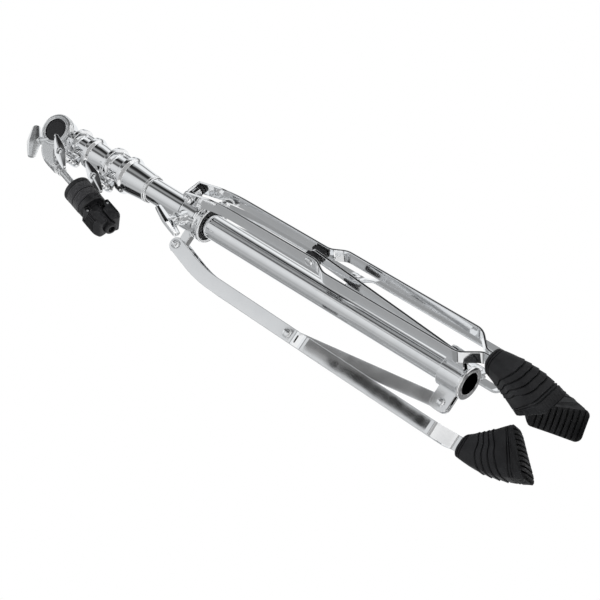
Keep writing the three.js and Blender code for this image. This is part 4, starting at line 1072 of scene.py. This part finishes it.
def light_tent():
    """A tent of white, grey and black cloths that only shiny surfaces see, open at its top."""
    shape = bmesh.new()
    bmesh.ops.create_uvsphere(shape, u_segments=96, v_segments=48, radius=TENT_RADIUS)
    open_top = [face for face in shape.faces if face.calc_center_median().z > TENT_RADIUS * 0.98]
    bmesh.ops.delete(shape, geom=open_top, context="FACES")
    mesh = bpy.data.meshes.new("light_tent")
    shape.to_mesh(mesh)
    shape.free()
    mesh.materials.append(tent_cloth())
    tent = in_scene("light_tent", mesh)
    tent.location = MIDDLE
    only_glossy(tent)


def only_glossy(thing):
    thing.visible_camera = False
    thing.visible_diffuse = False
    thing.visible_transmission = False
    thing.visible_shadow = False


def glowing(name, level):
    """A glowing cloth, cloudy about one level of grey, or without a colour yet where the level is None."""
    material = bpy.data.materials.new(name)
    material.use_nodes = True
    tree = material.node_tree
    tree.nodes.remove(tree.nodes["Principled BSDF"])
    glow = tree.nodes.new("ShaderNodeEmission")
    tree.links.new(glow.outputs[0], tree.nodes["Material Output"].inputs["Surface"])
    if level is not None:
        cloud = object_noise(tree, 6, 2, 0.5)
        low, high = (level * 0.8,) * 3, (level * 1.2,) * 3
        tree.links.new(blended(tree, ranged(tree, cloud, 0, 1), low, high), glow.inputs["Color"])
    return material, tree, glow


def tent_cloth():
    """Greys by direction, crossed by two dark rims."""
    material, tree, glow = glowing("tent_cloth", None)
    place = tree.nodes.new("ShaderNodeTexCoord")
    unit = tree.nodes.new("ShaderNodeVectorMath")
    unit.operation = "NORMALIZE"
    tree.links.new(place.outputs["Object"], unit.inputs[0])
    parts = tree.nodes.new("ShaderNodeSeparateXYZ")
    tree.links.new(unit.outputs[0], parts.inputs[0])
    angle = worked(tree, "ARCTAN2", parts.outputs["Y"], parts.outputs["X"])
    share = ranged(tree, angle, 0, 1, -math.pi, math.pi)
    colour = around(tree, share, TENT_LOWER)
    for start, stops in ((-0.12, TENT_MIDDLE), (0.8, TENT_UPPER)):
        mix = tree.nodes.new("ShaderNodeMix")
        mix.data_type = "RGBA"
        tree.links.new(ranged(tree, parts.outputs["Z"], 0, 1, start, start + 0.04), mix.inputs[0])
        tree.links.new(colour, mix.inputs[6])
        tree.links.new(around(tree, share, stops), mix.inputs[7])
        colour = mix.outputs[2]
    rims = tree.nodes.new("ShaderNodeValToRGB")
    elements = rims.color_ramp.elements
    elements[0].position, elements[0].color = 0.415, (1, 1, 1, 1)
    for height, level in ((0.425, 0.04), (0.455, 0.04), (0.465, 1), (0.885, 1), (0.89, 0.06), (0.905, 0.06)):
        elements.new(height).color = (level, level, level, 1)
    elements[-1].position, elements[-1].color = 0.91, (1, 1, 1, 1)
    tree.links.new(ranged(tree, parts.outputs["Z"], 0, 1, -1, 1), rims.inputs["Fac"])
    shade = tree.nodes.new("ShaderNodeMix")
    shade.data_type = "RGBA"
    shade.blend_type = "MULTIPLY"
    shade.inputs[0].default_value = 1
    tree.links.new(colour, shade.inputs[6])
    tree.links.new(rims.outputs["Color"], shade.inputs[7])
    tree.links.new(shade.outputs[2], glow.inputs["Color"])
    return material


def flag(name, corners, level):
    """A small hanging cloth, seen only in the metal."""
    mesh = bpy.data.meshes.new(name)
    mesh.from_pydata(corners, [], [(0, 1, 2, 3)])
    mesh.materials.append(glowing(name, level)[0])
    only_glossy(in_scene(name, mesh))


def on_floor(left, right, near, far):
    """Corners of a card just above the floor."""
    return [(x, y, 0.002) for x, y in ((left, near), (right, near), (right, far), (left, far))]


def softbox(name, place, size, power):
    """A soft lamp. It lights the object but isn't seen in the metal, where the tent's white cloths show."""
    lamp = bpy.data.lights.new(name, "AREA")
    lamp.shape = "RECTANGLE"
    lamp.size, lamp.size_y = size
    lamp.energy = power
    thing = in_scene(name, lamp)
    thing.location = place
    thing.rotation_euler = (MIDDLE - Vector(place)).to_track_quat("-Z", "Y").to_euler()
    thing.visible_glossy = False


floor()
studio_world()
light_tent()
# Small cloths, placed in metres, that darken what the strips, the flanges and the collar's mouth reflect
FLAG_Y = -0.62
flag("dark_flag", [
    (-0.0365, FLAG_Y, 0.418), (-0.0135, FLAG_Y, 0.418), (-0.0095, FLAG_Y, 0.6), (-0.0325, FLAG_Y, 0.6),
], 0.035)
flag("dim_flag", [
    (-0.0325, FLAG_Y, 0.6), (-0.0095, FLAG_Y, 0.6), (-0.0095, FLAG_Y, 0.645), (-0.0325, FLAG_Y, 0.645),
], 0.3)
flag("grey_flag", [
    (0, -0.6, 0.433), (0.021, -0.6, 0.433), (-0.0105, -0.6, 0.68), (-0.031, -0.6, 0.68),
], 0.17)
flag("floor_card", on_floor(-0.12, 0.22, 0.1, 1.6), 0.22)
flag("front_card", on_floor(-1.2, 1.2, -1.4, -0.3), 0.42)
softbox("key_softbox", (-1.6, -2.2, 2.6), (1.6, 1.2), 60)
softbox("side_softbox", (2.8, -0.8, 1.6), (1.0, 1.8), 36)
softbox("back_softbox", (0.4, 2.8, 2.2), (2.0, 1.0), 36)


def camera():
    """The photograph's own view, from below and in front, rolled so that the tilter is at the upper left."""
    lift, roll = math.radians(31), math.radians(31.75)
    right = Vector((math.sin(roll), math.sin(lift) * math.cos(roll), -math.cos(lift) * math.cos(roll)))
    down = Vector((-math.cos(roll), math.sin(lift) * math.sin(roll), -math.cos(lift) * math.sin(roll)))
    onward = Vector((0, math.cos(lift), math.sin(lift)))
    spin = turn(math.radians(-3), "Z")
    eye = spin @ Vector((-18.5, -2225, -1110))
    axes = Matrix((spin @ right, spin @ -down, spin @ -onward)).transposed().to_4x4()
    data = bpy.data.cameras.new("photo_camera")
    data.sensor_width = 36
    data.lens = 144.3
    data.clip_start, data.clip_end = 0.05, 40
    thing = in_scene("photo_camera", data)
    thing.matrix_world = Matrix.Translation(STAND @ eye) @ axes
    bpy.context.scene.camera = thing


camera()
bpy.context.scene.view_settings.view_transform = "Standard"
